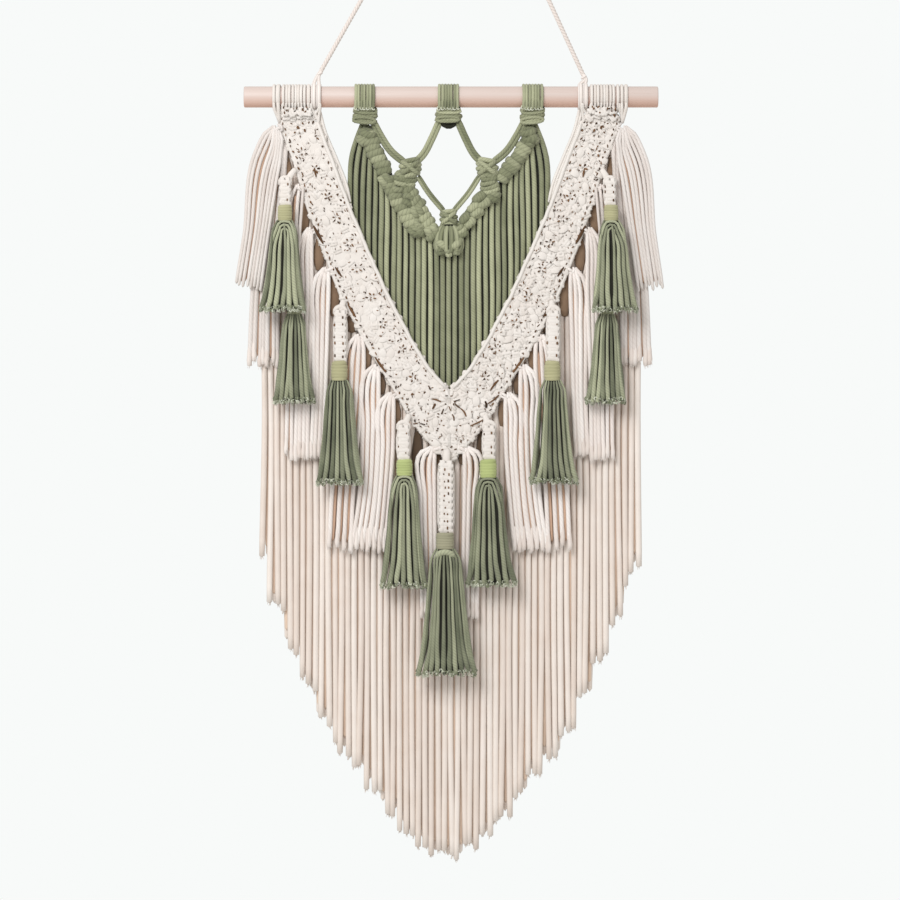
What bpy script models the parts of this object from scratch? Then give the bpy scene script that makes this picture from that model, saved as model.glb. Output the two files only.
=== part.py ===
"""Macrame wall hanging: a V-shaped band of cream knotting on a wooden rod, a sage green net and fringe
inside the V, nine green tassels and tiers of cream fringe, all hung from a nail by one cord.

Metres, +Z up. The origin is the nail. -Y is the side that faces the room, and the wall is at +Y.
Tables and sizes are in millimetres: "across" runs right from the middle of the rod, "out" runs away from
the middle of the V on either side, "drop" runs down from the rod's axis, and "depth" runs to the wall.
"""

import math
import random
from collections import namedtuple

import bmesh
import bpy
import numpy as np
from mathutils import Vector

MM = 0.001
GAP = 0.3  # between pieces that touch

# The rod and the cord that it hangs by
ROD_LENGTH = 414.0
ROD_RADIUS = 10.5
ROD_EDGE = 1.2
NAIL_ACROSS = 13.7
NAIL_RISE = 293.5
HANG_CORD = 4.5
LOOP_RADIUS = 8.75
KNOT_DROP = 14.0  # the loop's knot below the nail
KNOT_REACH = 8.5  # how far from that knot's middle the legs end
LEG_POINTS = 22
HITCH_SEAT = 13.1  # a hitch's taper starts this far above the rod's axis

# Cords
CREAM_CORD = 4.6
BACK_CORD = 5.0
GREEN_CORD = 5.2
NET_CORD = 4.2
WRAP_THICK = 2.2  # a cream cord pressed flat on the rod
GREEN_WRAP_THICK = 2.8
WRAP_SIDES = 10
SHOULDER_PITCH = 11.0
RIDGE_DEPTH = 0.16  # how far the valleys between knots go in, as a share of the bar's half width

# Depths, front to back
BAND_DEPTH = -3.0
BAND_THICK = 4.6
GREEN_DEPTH = 3.2
BACK_DEPTH = 4.6
SINNET_DEPTH = -9.3

MID = -1.5  # the middle of the V, across from the middle of the rod
BACK_COUNT = 59
BACK_HALF = 187.0
GREEN_COUNT = 33
GREEN_HALF = 99.0
GREEN_TUCK = 22.0  # how far the green cords run on behind the band

BandRow = namedtuple("BandRow", "drop inner outer")
BAND = (
    BandRow(11.8, 139.2, 177.0),
    BandRow(26.0, 130.0, 172.0),
    BandRow(62.0, 117.5, 156.5),
    BandRow(108.0, 100.5, 143.0),
    BandRow(152.0, 82.0, 127.5),
    BandRow(200.0, 60.5, 108.5),
    BandRow(240.0, 39.5, 87.5),
    BandRow(272.0, 20.0, 68.5),
    BandRow(294.0, 0.0, 54.5),
    BandRow(325.0, 0.0, 37.0),
    BandRow(350.0, 0.0, 16.0),
    BandRow(366.0, 0.0, 4.0),
)
BAND_ROWS = 22
BAND_COLUMNS = 4
BAND_RELIEF = 0.8
GAP_POST = 20.0  # length of the posts that cut the band's gaps

# Gaps in the band, by rows that run down each arm: share of the width from the inner edge, and size
GapRow = namedtuple("GapRow", "share wide long first last count")
GAPS = (
    GapRow(0.83, 3.2, 10.0, 62.0, 268.0, 7),
    GapRow(0.33, 4.6, 4.6, 44.0, 262.0, 6),
)

# The cords wound round the rod: cream ones end in the band, green ones in a knot
Wrap = namedtuple("Wrap", "left right cords")
CREAM_WRAPS = (Wrap(-179.0, -140.2, 7), Wrap(137.2, 177.0, 7))
GREEN_WRAPS = (Wrap(-96.3, -75.7, 4), Wrap(-13.0, 8.0, 4), Wrap(71.0, 92.0, 4))
HITCHES = {"left": Wrap(-139.8, -129.6, 2), "right": Wrap(126.6, 136.8, 2)}
HITCH_TOPS = {"left": (-131.2, -24.0), "right": (132.8, -20.5)}

# A bundle of cords hangs from a knotted shoulder on the band's outer edge
Bundle = namedtuple("Bundle", "name edge_drop far_out far_drop end_near end_far end_drop cords depth")
BUNDLES = (
    Bundle("a", 32.0, 194.0, 56.0, 180.0, 213.0, 192.0, 7, -6.6),
    Bundle("tier", 42.0, 190.0, 58.0, 171.0, 200.0, 268.0, 6, -1.0),
    Bundle("b", 88.0, 159.5, 97.0, 158.0, 163.5, 361.0, 2, -3.4),
    Bundle("c", 131.0, 150.0, 142.0, 142.5, 153.0, 363.0, 3, -3.4),
    Bundle("d", 171.0, 136.0, 184.0, 126.5, 137.5, 361.0, 3, -3.4),
    Bundle("e", 239.0, 104.0, 250.0, 106.5, 118.0, 452.0, 3, -3.4),
    Bundle("f", 268.0, 87.5, 281.0, 90.0, 101.5, 454.0, 3, -3.4),
    Bundle("g", 297.0, 70.5, 306.0, 70.0, 85.0, 453.0, 3, -3.4),
    Bundle("h", 353.0, 30.5, 354.0, 14.0, 26.5, 520.0, 3, -3.4),
)
SHOULDER = 6.4  # a shoulder's width
EDGE_CLEAR = 3.9  # the middle of a shoulder's inner end, out from the band's edge
ENDS_UNEVEN = 3.0  # how much longer or shorter a bundle's cords are cut

# A sinnet is a narrow bar of square knots that ends in a tassel
Sinnet = namedtuple("Sinnet", "name lead_across lead_drop across top bottom wide")
SINNETS = (
    Sinnet("1l", -155.0, 72.0, -165.5, 86.0, 110.0, 14.0),
    Sinnet("3l", -107.0, 203.0, -110.5, 215.0, 265.5, 15.0),
    Sinnet("4l", -41.5, 317.0, -47.5, 330.0, 363.5, 15.0),
    Sinnet("5", -4.0, 352.0, -5.0, 366.0, 436.5, 18.0),
    Sinnet("4r", 33.5, 317.0, 38.0, 330.0, 363.5, 15.0),
    Sinnet("3r", 100.0, 203.0, 102.0, 215.0, 265.5, 15.0),
    Sinnet("1r", 150.0, 72.0, 158.5, 86.0, 110.0, 14.0),
)
SINNET_THICK = 6.4
SINNET_PITCH = 7.6

Tassel = namedtuple("Tassel", "name across top neck wide hem_left hem_right hem depth hem_depth")
TASSELS = (
    Tassel("1l", -165.5, 110.0, 125.0, 16.0, -191.5, -143.5, 214.0, -15.4, -25.5),
    Tassel("2l", -156.5, 211.0, 223.0, 15.0, -177.5, -134.5, 305.0, -11.4, -15.5),
    Tassel("3l", -111.5, 265.5, 284.0, 17.5, -134.5, -86.5, 386.0, -12.4, -17.5),
    Tassel("4l", -46.5, 363.5, 379.0, 17.0, -71.5, -23.5, 489.0, -12.4, -17.0),
    Tassel("5", -6.0, 436.5, 452.0, 19.5, -35.5, 26.5, 576.0, -13.4, -20.5),
    Tassel("4r", 37.0, 363.5, 381.0, 18.0, 14.5, 66.5, 487.0, -12.4, -17.0),
    Tassel("3r", 101.0, 265.5, 284.0, 17.5, 77.5, 127.5, 385.0, -12.4, -17.5),
    Tassel("2r", 155.5, 211.0, 223.0, 15.0, 132.5, 174.5, 305.0, -11.4, -15.5),
    Tassel("1r", 159.5, 110.0, 125.0, 16.0, 139.5, 186.5, 214.0, -15.4, -25.5),
)
TASSEL_LOCKS = 8
TASSEL_LOCK = 7.6
HEAD_FLAT = 0.72  # a tassel head's depth as a share of its width
HEAD_RINGS = ((0.0, 0.86), (0.12, 1.0), (0.88, 1.0), (1.0, 0.9), (1.5, 1.02), (1.8, 0.8))  # down, girth
ROOT = 1.5  # where a skirt's locks start, in neck lengths below the head's top
ROOT_INSET = 1.8
SKIRT = ((0.0, 0.0, 0.5), (0.45, 0.4, 0.8), (1.0, 1.0, 1.0))  # down, flare, girth
HEM_THICK = 17.0  # a skirt's depth at its hem
HANGER = 3.0  # the cord that ties a second tassel to the band's face, behind the first tassel
Tie = namedtuple("Tie", "across drop depth")
HANGERS = {"2l": Tie(-147.5, 90.0, -7.7), "2r": Tie(144.5, 90.0, -7.7)}

# The cut ends of the long back fringe: how far each stretch reaches
HEM = {"out": (0.0, 28.0, 52.0, 68.0, 90.0, 118.0, 131.0, 155.0, 176.0, 190.0),
       "drop": (763.0, 748.0, 727.0, 702.0, 674.0, 641.0, 611.0, 555.0, 499.0, 455.0)}
HEM_UNEVEN = 6.0
STRIP = 4.0  # half the width of the strip that the back fringe hangs from
STRIP_FLAT = 0.8
STRIP_INSET = 5.0  # the strip's line, in from the band's outer edge
STRIP_TOP = ((189.0, 52.0), (180.0, 40.0), (168.0, 36.0))  # out and drop
STRIP_FOOT = (12.0, 345.0)

# The green net, from its middle: knots, the cords between them and the diagonal bars of the panel
NET_MID = -2.3
Knot = namedtuple("Knot", "out drop wide high thick")
NET_KNOTS = (
    Knot(83.0, 19.5, 24.0, 17.0, 12.0),
    Knot(38.5, 72.0, 21.0, 19.0, 13.0),
    Knot(0.0, 19.5, 27.0, 17.0, 12.0),
    Knot(0.0, 120.0, 17.0, 18.0, 11.0),
)
Strand = namedtuple("Strand", "outs drops depth")
NET_CORDS = (
    Strand((75.0, 66.0, 57.0, 45.0), (24.0, 39.0, 54.0, 67.0), -1.5),
    Strand((71.5, 62.5, 53.5, 41.5), (22.0, 37.0, 52.0, 66.0), -2.6),
    Strand((8.5, 15.5, 24.0, 35.0), (26.0, 42.0, 57.0, 69.0), -1.5),
    Strand((12.5, 19.5, 28.0, 38.0), (26.0, 41.0, 55.0, 66.0), -2.6),
    Strand((29.5, 19.5, 6.0), (80.0, 95.0, 116.0), -1.5),
)
BAR_WIDE = 19.0
BAR_THICK = 9.0
BAR_PITCH = 14.0
BARS = (
    Strand((84.0, 77.0, 63.0, 50.0), (24.0, 36.0, 60.0, 88.0), 0.0),
    Strand((42.0, 33.0, 21.0, 8.0), (82.0, 105.0, 127.0, 147.0), 0.0),
)
BERRY = Knot(0.0, 146.0, 29.0, 30.0, 14.0)
NET_KNOT_DEPTH = -1.0
GREEN_PULL = 1.5  # how far forward the green cords' tops lie
GREEN_TOPS = {"out": (0.0, 8.0, 21.0, 34.0, 46.0, 58.0, 70.0, 80.0, 101.0),
              "drop": (152.0, 150.0, 132.0, 108.0, 92.0, 76.0, 52.0, 30.0, 25.0)}

random.seed(7)


def at(across, drop, depth=0.0):
    return Vector((across - NAIL_ACROSS, depth, -(NAIL_RISE + drop))) * MM


def band_edge(column, drop):
    """How far out the band's inner or outer edge lies at this drop."""
    return float(np.interp(drop, [row.drop for row in BAND], [getattr(row, column) for row in BAND]))


def material(name, colour, roughness):
    made = bpy.data.materials.new(name)
    made.use_nodes = True
    shader = made.node_tree.nodes["Principled BSDF"]
    shader.inputs["Base Color"].default_value = (*colour, 1.0)
    shader.inputs["Roughness"].default_value = roughness
    shader.inputs["Metallic"].default_value = 0.0
    return made


def collection(name):
    made = bpy.data.collections.new(name)
    bpy.context.scene.collection.children.link(made)
    return made


for old in list(bpy.data.objects):
    bpy.data.objects.remove(old, do_unlink=True)
PARTS = collection("macrame_wall_hanging")
HELPERS = collection("helpers")
WOOD = material("stained_wood", (0.74, 0.58, 0.51), 0.5)
CREAM = material("cream_cotton", (0.85, 0.80, 0.74), 0.9)
PALE = material("off_white_cotton", (0.84, 0.77, 0.73), 0.9)
SAGE = material("sage_cotton", (0.22, 0.26, 0.15), 0.9)


def place(name, mesh, finish, helper=False):
    """An object in the parts, or a helper that only a Boolean reads."""
    made = bpy.data.objects.new(name, mesh)
    (HELPERS if helper else PARTS).objects.link(made)
    mesh.materials.clear()
    mesh.materials.append(finish)
    made.hide_render = helper
    made.display_type = "WIRE" if helper else "TEXTURED"
    return made


def join(piece, others, kind="UNION", crowded=False):
    """Fuses or cuts in turn. crowded says that the cords in one helper run into each other."""
    for other in others:
        step = piece.modifiers.new(other.name, "BOOLEAN")
        step.operation = kind
        step.solver = "EXACT"
        step.use_self = crowded
        step.object = other
    return piece


def tubes(name, runs, finish, sides=4, helper=False, flat=None):
    """Cords along runs of (point, radius in millimetres), as one mesh of closed tubes.
    flat is the depth of a flattened bar as a share of its width."""
    curve = bpy.data.curves.new(name, "CURVE")
    curve.dimensions = "3D"
    curve.bevel_depth = MM
    curve.bevel_resolution = (sides - 4) // 2
    curve.use_fill_caps = True
    for run in runs:
        spline = curve.splines.new("POLY")
        spline.points.add(len(run) - 1)
        for point, (place_at, radius) in zip(spline.points, run):
            point.co = (*place_at, 1.0)
            point.radius = radius
    guide = bpy.data.objects.new(name, curve)
    HELPERS.objects.link(guide)
    bpy.context.view_layer.update()
    mesh = bpy.data.meshes.new_from_object(guide.evaluated_get(bpy.context.evaluated_depsgraph_get()))
    bpy.data.objects.remove(guide, do_unlink=True)
    bpy.data.curves.remove(curve)
    shape = bmesh.new()
    shape.from_mesh(mesh)
    bmesh.ops.remove_doubles(shape, verts=shape.verts, dist=1e-6)
    for vert in shape.verts if flat else ():
        vert.co.y *= flat
    bmesh.ops.recalc_face_normals(shape, faces=shape.faces)
    shape.to_mesh(mesh)
    shape.free()
    mesh.name = name
    return place(name, mesh, finish, helper)


def lean(piece, top, bottom, depth, end_depth):
    """Sets a flat piece to a depth that changes evenly from its top to its bottom."""
    for vert in piece.data.vertices:
        drop = -vert.co.z / MM - NAIL_RISE
        vert.co.y += MM * float(np.interp(drop, (top, bottom), (depth, end_depth)))
    return piece


def ridged(points, wide, pitch):
    """A run for a knotted bar: the path cut at every half pitch, wide on each knot and narrow between."""
    steps = [(b - a).length for a, b in zip(points, points[1:])]
    marks = np.concatenate([[0.0], np.cumsum(steps)])
    count = 2 * max(1, round(marks[-1] / (pitch * MM)))
    run = []
    for k in range(count + 1):
        far = marks[-1] * k / count
        spot = Vector([float(np.interp(far, marks, [p[i] for p in points])) for i in range(3)])
        run.append((spot, wide / 2 * (1.0 if k % 2 else 1.0 - RIDGE_DEPTH)))
    return run


def knot(name, spot, size, finish, helper=False):
    """A gathering knot: a low barrel with two ridges across it."""
    shares = ((-0.5, 0.70), (-0.26, 1.0), (0.0, 0.86), (0.26, 1.0), (0.5, 0.70))
    run = [(at(spot.x, spot.y + size.high * share), size.wide / 2 * girth) for share, girth in shares]
    piece = tubes(name, [run], finish, sides=8, helper=helper, flat=size.thick / size.wide)
    return lean(piece, spot.y - 1, spot.y + 1, spot.z, spot.z)


def sleeve(name, wrap, finish, thick=WRAP_THICK, helper=False):
    """Cords wound side by side round the rod: a turned ring with a ridge for each cord."""
    inner = (ROD_RADIUS + GAP) / math.cos(math.pi / WRAP_SIDES)
    pitch = (wrap.right - wrap.left) / wrap.cords
    outline = [(wrap.left, inner), (wrap.left, inner + 0.6 * thick)]
    for k in range(wrap.cords):
        outline.append((wrap.left + (k + 0.5) * pitch, inner + thick))
        outline.append((wrap.left + (k + 1) * pitch, inner + 0.6 * thick))
    outline.append((wrap.right, inner))
    shape = bmesh.new()
    verts = [shape.verts.new((across * MM, 0.0, radius * MM)) for across, radius in outline]
    for a, b in zip(verts, verts[1:] + verts[:1]):
        shape.edges.new((a, b))
    mesh = bpy.data.meshes.new(name)
    shape.to_mesh(mesh)
    shape.free()
    ring = place(name, mesh, finish, helper)
    ring.location = at(0, 0)
    turn = ring.modifiers.new("turn", "SCREW")
    turn.axis = "X"
    turn.steps = turn.render_steps = WRAP_SIDES
    turn.use_merge_vertices = True
    turn.merge_threshold = 1e-5
    turn.use_normal_flip = True
    return ring


def make_rod():
    bpy.ops.mesh.primitive_cylinder_add(
        vertices=32, radius=ROD_RADIUS * MM, depth=ROD_LENGTH * MM,
        location=at(0, 0), rotation=(0, math.pi / 2, 0))
    rod = bpy.context.object
    rod.name = rod.data.name = "rod"
    for holder in rod.users_collection:
        holder.objects.unlink(rod)
    PARTS.objects.link(rod)
    rod.data.materials.append(WOOD)
    edge = rod.modifiers.new("edge", "BEVEL")
    edge.width = ROD_EDGE * MM
    edge.segments = 1
    edge.limit_method = "ANGLE"


def make_hanging_cord():
    """The knotted loop on the nail, and on each side a taut leg down to a hitch round the rod."""
    bpy.ops.mesh.primitive_torus_add(
        major_radius=LOOP_RADIUS * MM, minor_radius=HANG_CORD / 2 * MM,
        major_segments=16, minor_segments=6, rotation=(math.pi / 2, 0, 0))
    loop = bpy.context.object
    loop.name = loop.data.name = "hang_loop"
    for holder in loop.users_collection:
        holder.objects.unlink(loop)
    PARTS.objects.link(loop)
    loop.data.materials.append(PALE)
    top = Vector((0, 0, -KNOT_DROP * MM))
    spot = Vector((NAIL_ACROSS, KNOT_DROP - NAIL_RISE, 0))
    loop_knot = knot("loop_knot", spot, Knot(0, 0, 13.0, 11.0, 11.0), PALE, helper=True)
    join(loop, [loop_knot])
    for side, (across, drop) in HITCH_TOPS.items():
        foot = at(across, drop)
        way = (top - foot).normalized()
        start = foot + way * GAP * MM
        end = top - way * KNOT_REACH * MM
        leg = [(start.lerp(end, k / (LEG_POINTS - 1)), HANG_CORD / 2) for k in range(LEG_POINTS)]
        tubes(f"hang_cord_{side}", [leg], PALE, sides=8)
        wrap = HITCHES[side]
        seat = at((wrap.left + wrap.right) / 2, -HITCH_SEAT)
        taper = [(seat, 4.0), (foot - way * 4 * MM, 2.8), (foot, HANG_CORD / 2)]
        ring = sleeve(f"hang_hitch_{side}", wrap, PALE)
        join(ring, [tubes(f"taper_{side}", [taper], PALE, sides=6, helper=True)])


def make_band():
    """The V of dense knotting: one arm as a grid of knots, mirrored, thickened, fused to the cords wound
    round the rod and cut through at its larger gaps."""
    shape = bmesh.new()
    bmesh.ops.create_grid(shape, x_segments=BAND_COLUMNS, y_segments=BAND_ROWS, size=1.0)
    for vert in shape.verts:
        share = (vert.co.x + 1) / 2
        step = (vert.co.y + 1) / 2
        drop = BAND[0].drop + step * (BAND[-1].drop - BAND[0].drop)
        inner, outer = band_edge("inner", drop), band_edge("outer", drop)
        raised = (-1) ** (round(share * BAND_COLUMNS) + round(step * BAND_ROWS))
        vert.co = at(MID - inner - share * (outer - inner), drop, BAND_DEPTH + BAND_RELIEF / 2 * raised)
    bmesh.ops.recalc_face_normals(shape, faces=shape.faces)
    mesh = bpy.data.meshes.new("cream_band")
    shape.to_mesh(mesh)
    shape.free()
    band = place("cream_band", mesh, CREAM)
    middle = bpy.data.objects.new("band_middle", None)
    middle.location = at(MID, 0)
    HELPERS.objects.link(middle)
    mirror = band.modifiers.new("other arm", "MIRROR")
    mirror.mirror_object = middle
    mirror.use_mirror_merge = True
    mirror.merge_threshold = 1e-5
    wall = band.modifiers.new("thickness", "SOLIDIFY")
    wall.thickness = BAND_THICK * MM
    wall.offset = 0.0
    join(band, [sleeve(f"cream_wrap_{k}", wrap, CREAM, helper=True) for k, wrap in enumerate(CREAM_WRAPS)])
    join(band, [band_gaps()], "DIFFERENCE")


def band_gaps():
    """Small five-sided posts along both arms, slanted as the arm is."""
    posts = bmesh.new()
    for row in GAPS:
        for k in range(row.count):
            drop = row.first + (row.last - row.first) * k / (row.count - 1)
            inner, outer = band_edge("inner", drop), band_edge("outer", drop)
            out = inner + row.share * (outer - inner)
            slope = math.atan2(band_edge("outer", drop - 9) - band_edge("outer", drop + 9), 18.0)
            for side in (-1, 1):
                post = bmesh.ops.create_cone(posts, cap_ends=True, segments=5, radius1=row.wide / 2 * MM,
                                             radius2=row.wide / 2 * MM, depth=GAP_POST * MM)["verts"]
                spot = at(MID + side * out, drop, BAND_DEPTH)
                for vert in post:
                    wide, long = vert.co.x, vert.co.y * row.long / row.wide
                    vert.co.x = spot.x + wide * math.cos(slope) + side * long * math.sin(slope)
                    vert.co.y, vert.co.z = (
                        spot.y + vert.co.z,
                        spot.z + long * math.cos(slope) - side * wide * math.sin(slope),
                    )
    bmesh.ops.recalc_face_normals(posts, faces=posts.faces)
    mesh = bpy.data.meshes.new("band_gaps")
    posts.to_mesh(mesh)
    posts.free()
    return place("band_gaps", mesh, CREAM, helper=True)


def make_bundle(row, side, sign):
    """A knotted shoulder that arches out from the band's edge, with its cords hanging from it."""
    name = f"bundle_{row.name}_{side}"
    edge_out = band_edge("outer", row.edge_drop) + EDGE_CLEAR
    arch = ((edge_out, row.edge_drop + 1.5),
            ((edge_out + row.far_out) / 2, min(row.edge_drop, row.far_drop) + 0.5),
            (row.far_out, row.far_drop))
    line = ridged([at(MID + sign * out, drop) for out, drop in arch], SHOULDER, SHOULDER_PITCH)
    shoulder = tubes(name, [line], CREAM, sides=6, flat=CREAM_CORD / SHOULDER)
    lean(shoulder, 0, 1, row.depth, row.depth)
    first, last = edge_out + CREAM_CORD / 2 - 1, row.far_out - CREAM_CORD / 2 + 1
    root = min(CREAM_CORD / 2, (last - first) / (row.cords - 1) * 0.47)
    runs = []
    for k in range(row.cords):
        share = k / (row.cords - 1)
        start = first + share * (last - first)
        end = row.end_near + share * (row.end_far - row.end_near)
        top = float(np.interp(start, *zip(*arch)))
        bottom = row.end_drop + random.uniform(-1, 1) * ENDS_UNEVEN
        run = []
        full = CREAM_CORD / 2
        for down, sideways, radius in ((0.0, 0.0, root), (0.3, 0.5, full), (1.0, 1.0, full)):
            out = start + (end - start) * sideways
            run.append((at(MID + sign * out, top + (bottom - top) * down, row.depth), radius))
        runs.append(run)
    join(shoulder, [tubes(f"{name}_cords", runs, CREAM, helper=True)], crowded=True)


def make_back_fringe():
    """Long cords on a strip that follows the band's outer edge behind it and turns out at the top."""
    beside = [row for row in BAND if STRIP_TOP[0][1] < row.drop < STRIP_FOOT[1]]
    path = [*STRIP_TOP, *((row.outer - STRIP_INSET, row.drop) for row in beside), STRIP_FOOT]
    strip = [at(MID - out, drop) for out, drop in path]
    strip += [at(MID + out, drop) for out, drop in reversed(path)]
    back = tubes("back_fringe", [[(spot, STRIP) for spot in strip]], PALE, sides=6, flat=STRIP_FLAT)
    lean(back, 0, 1, BACK_DEPTH, BACK_DEPTH)
    runs = []
    tops = ([out for out, _ in reversed(path)], [drop for _, drop in reversed(path)])
    for k in range(BACK_COUNT):
        across = -BACK_HALF + 2 * BACK_HALF * k / (BACK_COUNT - 1)
        top = float(np.interp(abs(across - MID), *tops))
        bottom = float(np.interp(abs(across), HEM["out"], HEM["drop"])) + random.uniform(-1, 1) * HEM_UNEVEN
        runs.append([(at(across, drop, BACK_DEPTH), BACK_CORD / 2) for drop in (top, bottom)])
    join(back, [tubes("back_fringe_cords", runs, PALE, helper=True)])


def make_green_panel():
    """Net, knots, diagonal bars and straight cords, all of the same cords and so one solid."""
    def both(rows):
        return [(row, sign) for row in rows for sign in (-1, 1)]

    def line(row, sign):
        return [at(NET_MID + sign * out, drop, row.depth) for out, drop in zip(row.outs, row.drops)]

    def bar(name, row, sign, helper):
        run = ridged(line(row, sign), BAR_WIDE, BAR_PITCH)
        return tubes(name, [run], SAGE, sides=6, helper=helper, flat=BAR_THICK / BAR_WIDE)

    first, *rest = both(BARS)
    panel = bar("green_panel", *first, helper=False)
    others = [bar(f"green_bar_{k}", *each, helper=True) for k, each in enumerate(rest)]
    others.append(knot("green_berry", Vector((NET_MID, BERRY.drop, 0)), BERRY, SAGE, helper=True))
    for k, row in enumerate(NET_KNOTS):
        for sign in (-1, 1) if row.out else (1,):
            spot = Vector((NET_MID + sign * row.out, row.drop, NET_KNOT_DEPTH))
            others.append(knot(f"green_knot_{k}_{sign}", spot, row, SAGE, helper=True))
    for k, (row, sign) in enumerate(both(NET_CORDS)):
        run = [(spot, NET_CORD / 2) for spot in line(row, sign)]
        others.append(tubes(f"green_net_cord_{k}", [run], SAGE, helper=True))
    for k, wrap in enumerate(GREEN_WRAPS):
        others.append(sleeve(f"green_wrap_{k}", wrap, SAGE, GREEN_WRAP_THICK, helper=True))
    inner = [row for row in BAND if 29 < row.drop < 300]
    runs = []
    for k in range(GREEN_COUNT):
        across = -GREEN_HALF + 2 * GREEN_HALF * k / (GREEN_COUNT - 1)
        top = float(np.interp(abs(across), GREEN_TOPS["out"], GREEN_TOPS["drop"]))
        bottom = float(np.interp(-abs(across), [-row.inner for row in inner], [row.drop for row in inner]))
        pulled = across * float(np.interp(abs(across), (70.0, 101.0), (1.0, 0.93)))
        runs.append([(at(NET_MID + pulled, top, GREEN_DEPTH - GREEN_PULL), GREEN_CORD / 2),
                     (at(NET_MID + across, bottom + GREEN_TUCK, GREEN_DEPTH), GREEN_CORD / 2)])
    others.append(tubes("green_cords", runs, SAGE, helper=True))
    join(panel, others)


def make_sinnet(row):
    """A narrow bar of square knots that leaves the band's edge and then hangs straight."""
    path = [at(row.lead_across, row.lead_drop), at(row.across, row.top), at(row.across, row.bottom - GAP)]
    bar = tubes(f"sinnet_{row.name}", [ridged(path, row.wide, SINNET_PITCH)], CREAM, sides=6,
                flat=SINNET_THICK / row.wide)
    lean(bar, row.top, row.bottom, SINNET_DEPTH, SINNET_DEPTH - 2.0)


def make_tassel(row):
    """A wound neck with a rounded skirt of locks, hollow in the middle and wider at its hem."""
    thick = row.wide * HEAD_FLAT
    neck = row.neck - row.top
    run = [(at(row.across, row.top + neck * down), row.wide / 2 * girth) for down, girth in HEAD_RINGS]
    head = tubes(f"tassel_{row.name}", [run], SAGE, sides=8, flat=HEAD_FLAT)
    lean(head, 0, 1, row.depth, row.depth)
    hem_across = (row.hem_left + row.hem_right) / 2
    hem_half = (row.hem_right - row.hem_left) / 2 - TASSEL_LOCK / 2
    top = row.top + neck * ROOT
    runs = []
    for k in range(TASSEL_LOCKS):
        angle = 2 * math.pi * (k + 0.5) / TASSEL_LOCKS
        side, front = math.sin(angle), math.cos(angle)
        bottom = row.hem + random.uniform(-2, 2)
        run = []
        for down, flare, girth in SKIRT:
            reach = (1 - flare) * (row.wide / 2 - ROOT_INSET) + flare * hem_half
            deep = (1 - flare) * (thick / 2 - ROOT_INSET) + flare * (HEM_THICK - TASSEL_LOCK) / 2
            centre = row.across + flare * (hem_across - row.across)
            depth = row.depth + flare * (row.hem_depth - row.depth)
            run.append((at(centre + side * reach, top + (bottom - top) * down, depth - front * deep),
                        TASSEL_LOCK / 2 * girth))
        runs.append(run)
    others = [tubes(f"tassel_{row.name}_cords", runs, SAGE, helper=True)]
    if row.name in HANGERS:
        tie = HANGERS[row.name]
        line = [at(tie.across, tie.drop, tie.depth), at(row.across, row.top + 4, row.depth)]
        run = [(spot, HANGER / 2) for spot in line]
        others.append(tubes(f"tassel_{row.name}_hanger", [run], SAGE, helper=True))
    join(head, others, crowded=True)


make_rod()
make_hanging_cord()
make_band()
for side, sign in (("left", -1), ("right", 1)):
    for row in BUNDLES:
        make_bundle(row, side, sign)
make_back_fringe()
make_green_panel()
for row in SINNETS:
    make_sinnet(row)
for row in TASSELS:
    make_tassel(row)
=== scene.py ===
# %% [markdown]
# # A macrame wall hanging
# A V-shaped band of cream knotting hangs on a stained dowel. Inside the V is a sage green net with a
# fringe, and green tassels and tiers of cream cord hang outside it. This notebook dresses the plain packed
# model: each step says what a piece is on the real thing, how it could be made in Blender, and why this way
# was chosen.

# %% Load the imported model
import math
import random
from collections import namedtuple

import bmesh
import bpy
import numpy as np
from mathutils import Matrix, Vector


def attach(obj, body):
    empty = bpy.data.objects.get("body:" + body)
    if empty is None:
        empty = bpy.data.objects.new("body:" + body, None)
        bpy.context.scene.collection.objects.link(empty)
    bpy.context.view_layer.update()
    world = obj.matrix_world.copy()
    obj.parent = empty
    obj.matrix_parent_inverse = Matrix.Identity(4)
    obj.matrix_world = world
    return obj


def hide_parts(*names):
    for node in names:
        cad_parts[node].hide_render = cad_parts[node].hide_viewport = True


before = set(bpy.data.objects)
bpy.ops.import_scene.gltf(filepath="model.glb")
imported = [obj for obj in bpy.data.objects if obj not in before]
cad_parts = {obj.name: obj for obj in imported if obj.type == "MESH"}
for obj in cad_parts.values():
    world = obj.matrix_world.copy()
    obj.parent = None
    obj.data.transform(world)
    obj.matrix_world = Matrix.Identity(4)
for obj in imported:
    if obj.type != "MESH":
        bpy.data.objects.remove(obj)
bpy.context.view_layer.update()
print("packed model:", len(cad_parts), "nodes")

# %% [markdown]
# ## Places
# The hanging is flat, so its sizes are easiest to give as a maker would: millimetres across from the middle
# of the rod, millimetres of drop from the rod's axis, and depth towards the wall. The origin is the nail.
# Where the two halves are alike, a place is given by how far out it lies from the middle of the V, and the
# sign of a side.

# %% Places and the main sizes
MM = 0.001
ROD_LENGTH = 414.0
ROD_RADIUS = 10.5
NAIL_ACROSS = 13.7
NAIL_RISE = 293.5
MID = -1.5  # the middle of the V
NET_MID = -2.3  # the middle of the green net
GAP = 0.3  # between the rod and what is wound on it


def at(across, drop, depth=0.0):
    """A place on the hanging, in metres."""
    return np.array((across - NAIL_ACROSS, depth, -(NAIL_RISE + drop))) * MM


def mm(right, back, up):
    """A step from a place: so many millimetres to the right, towards the wall and up."""
    return np.array((right, back, up)) * MM


# %% [markdown]
# ## Camera
# The photograph looks straight at the hanging from some way off, so lines stay parallel. A long lens far
# back does that. One picture is 900 mm of the wall, and its middle lies a little left of the rod's middle.

# %% Camera
VIEW_WIDE = 0.9
VIEW_FAR = 4.0
VIEW_ACROSS = -1.0
VIEW_DROP = 353.0

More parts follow.
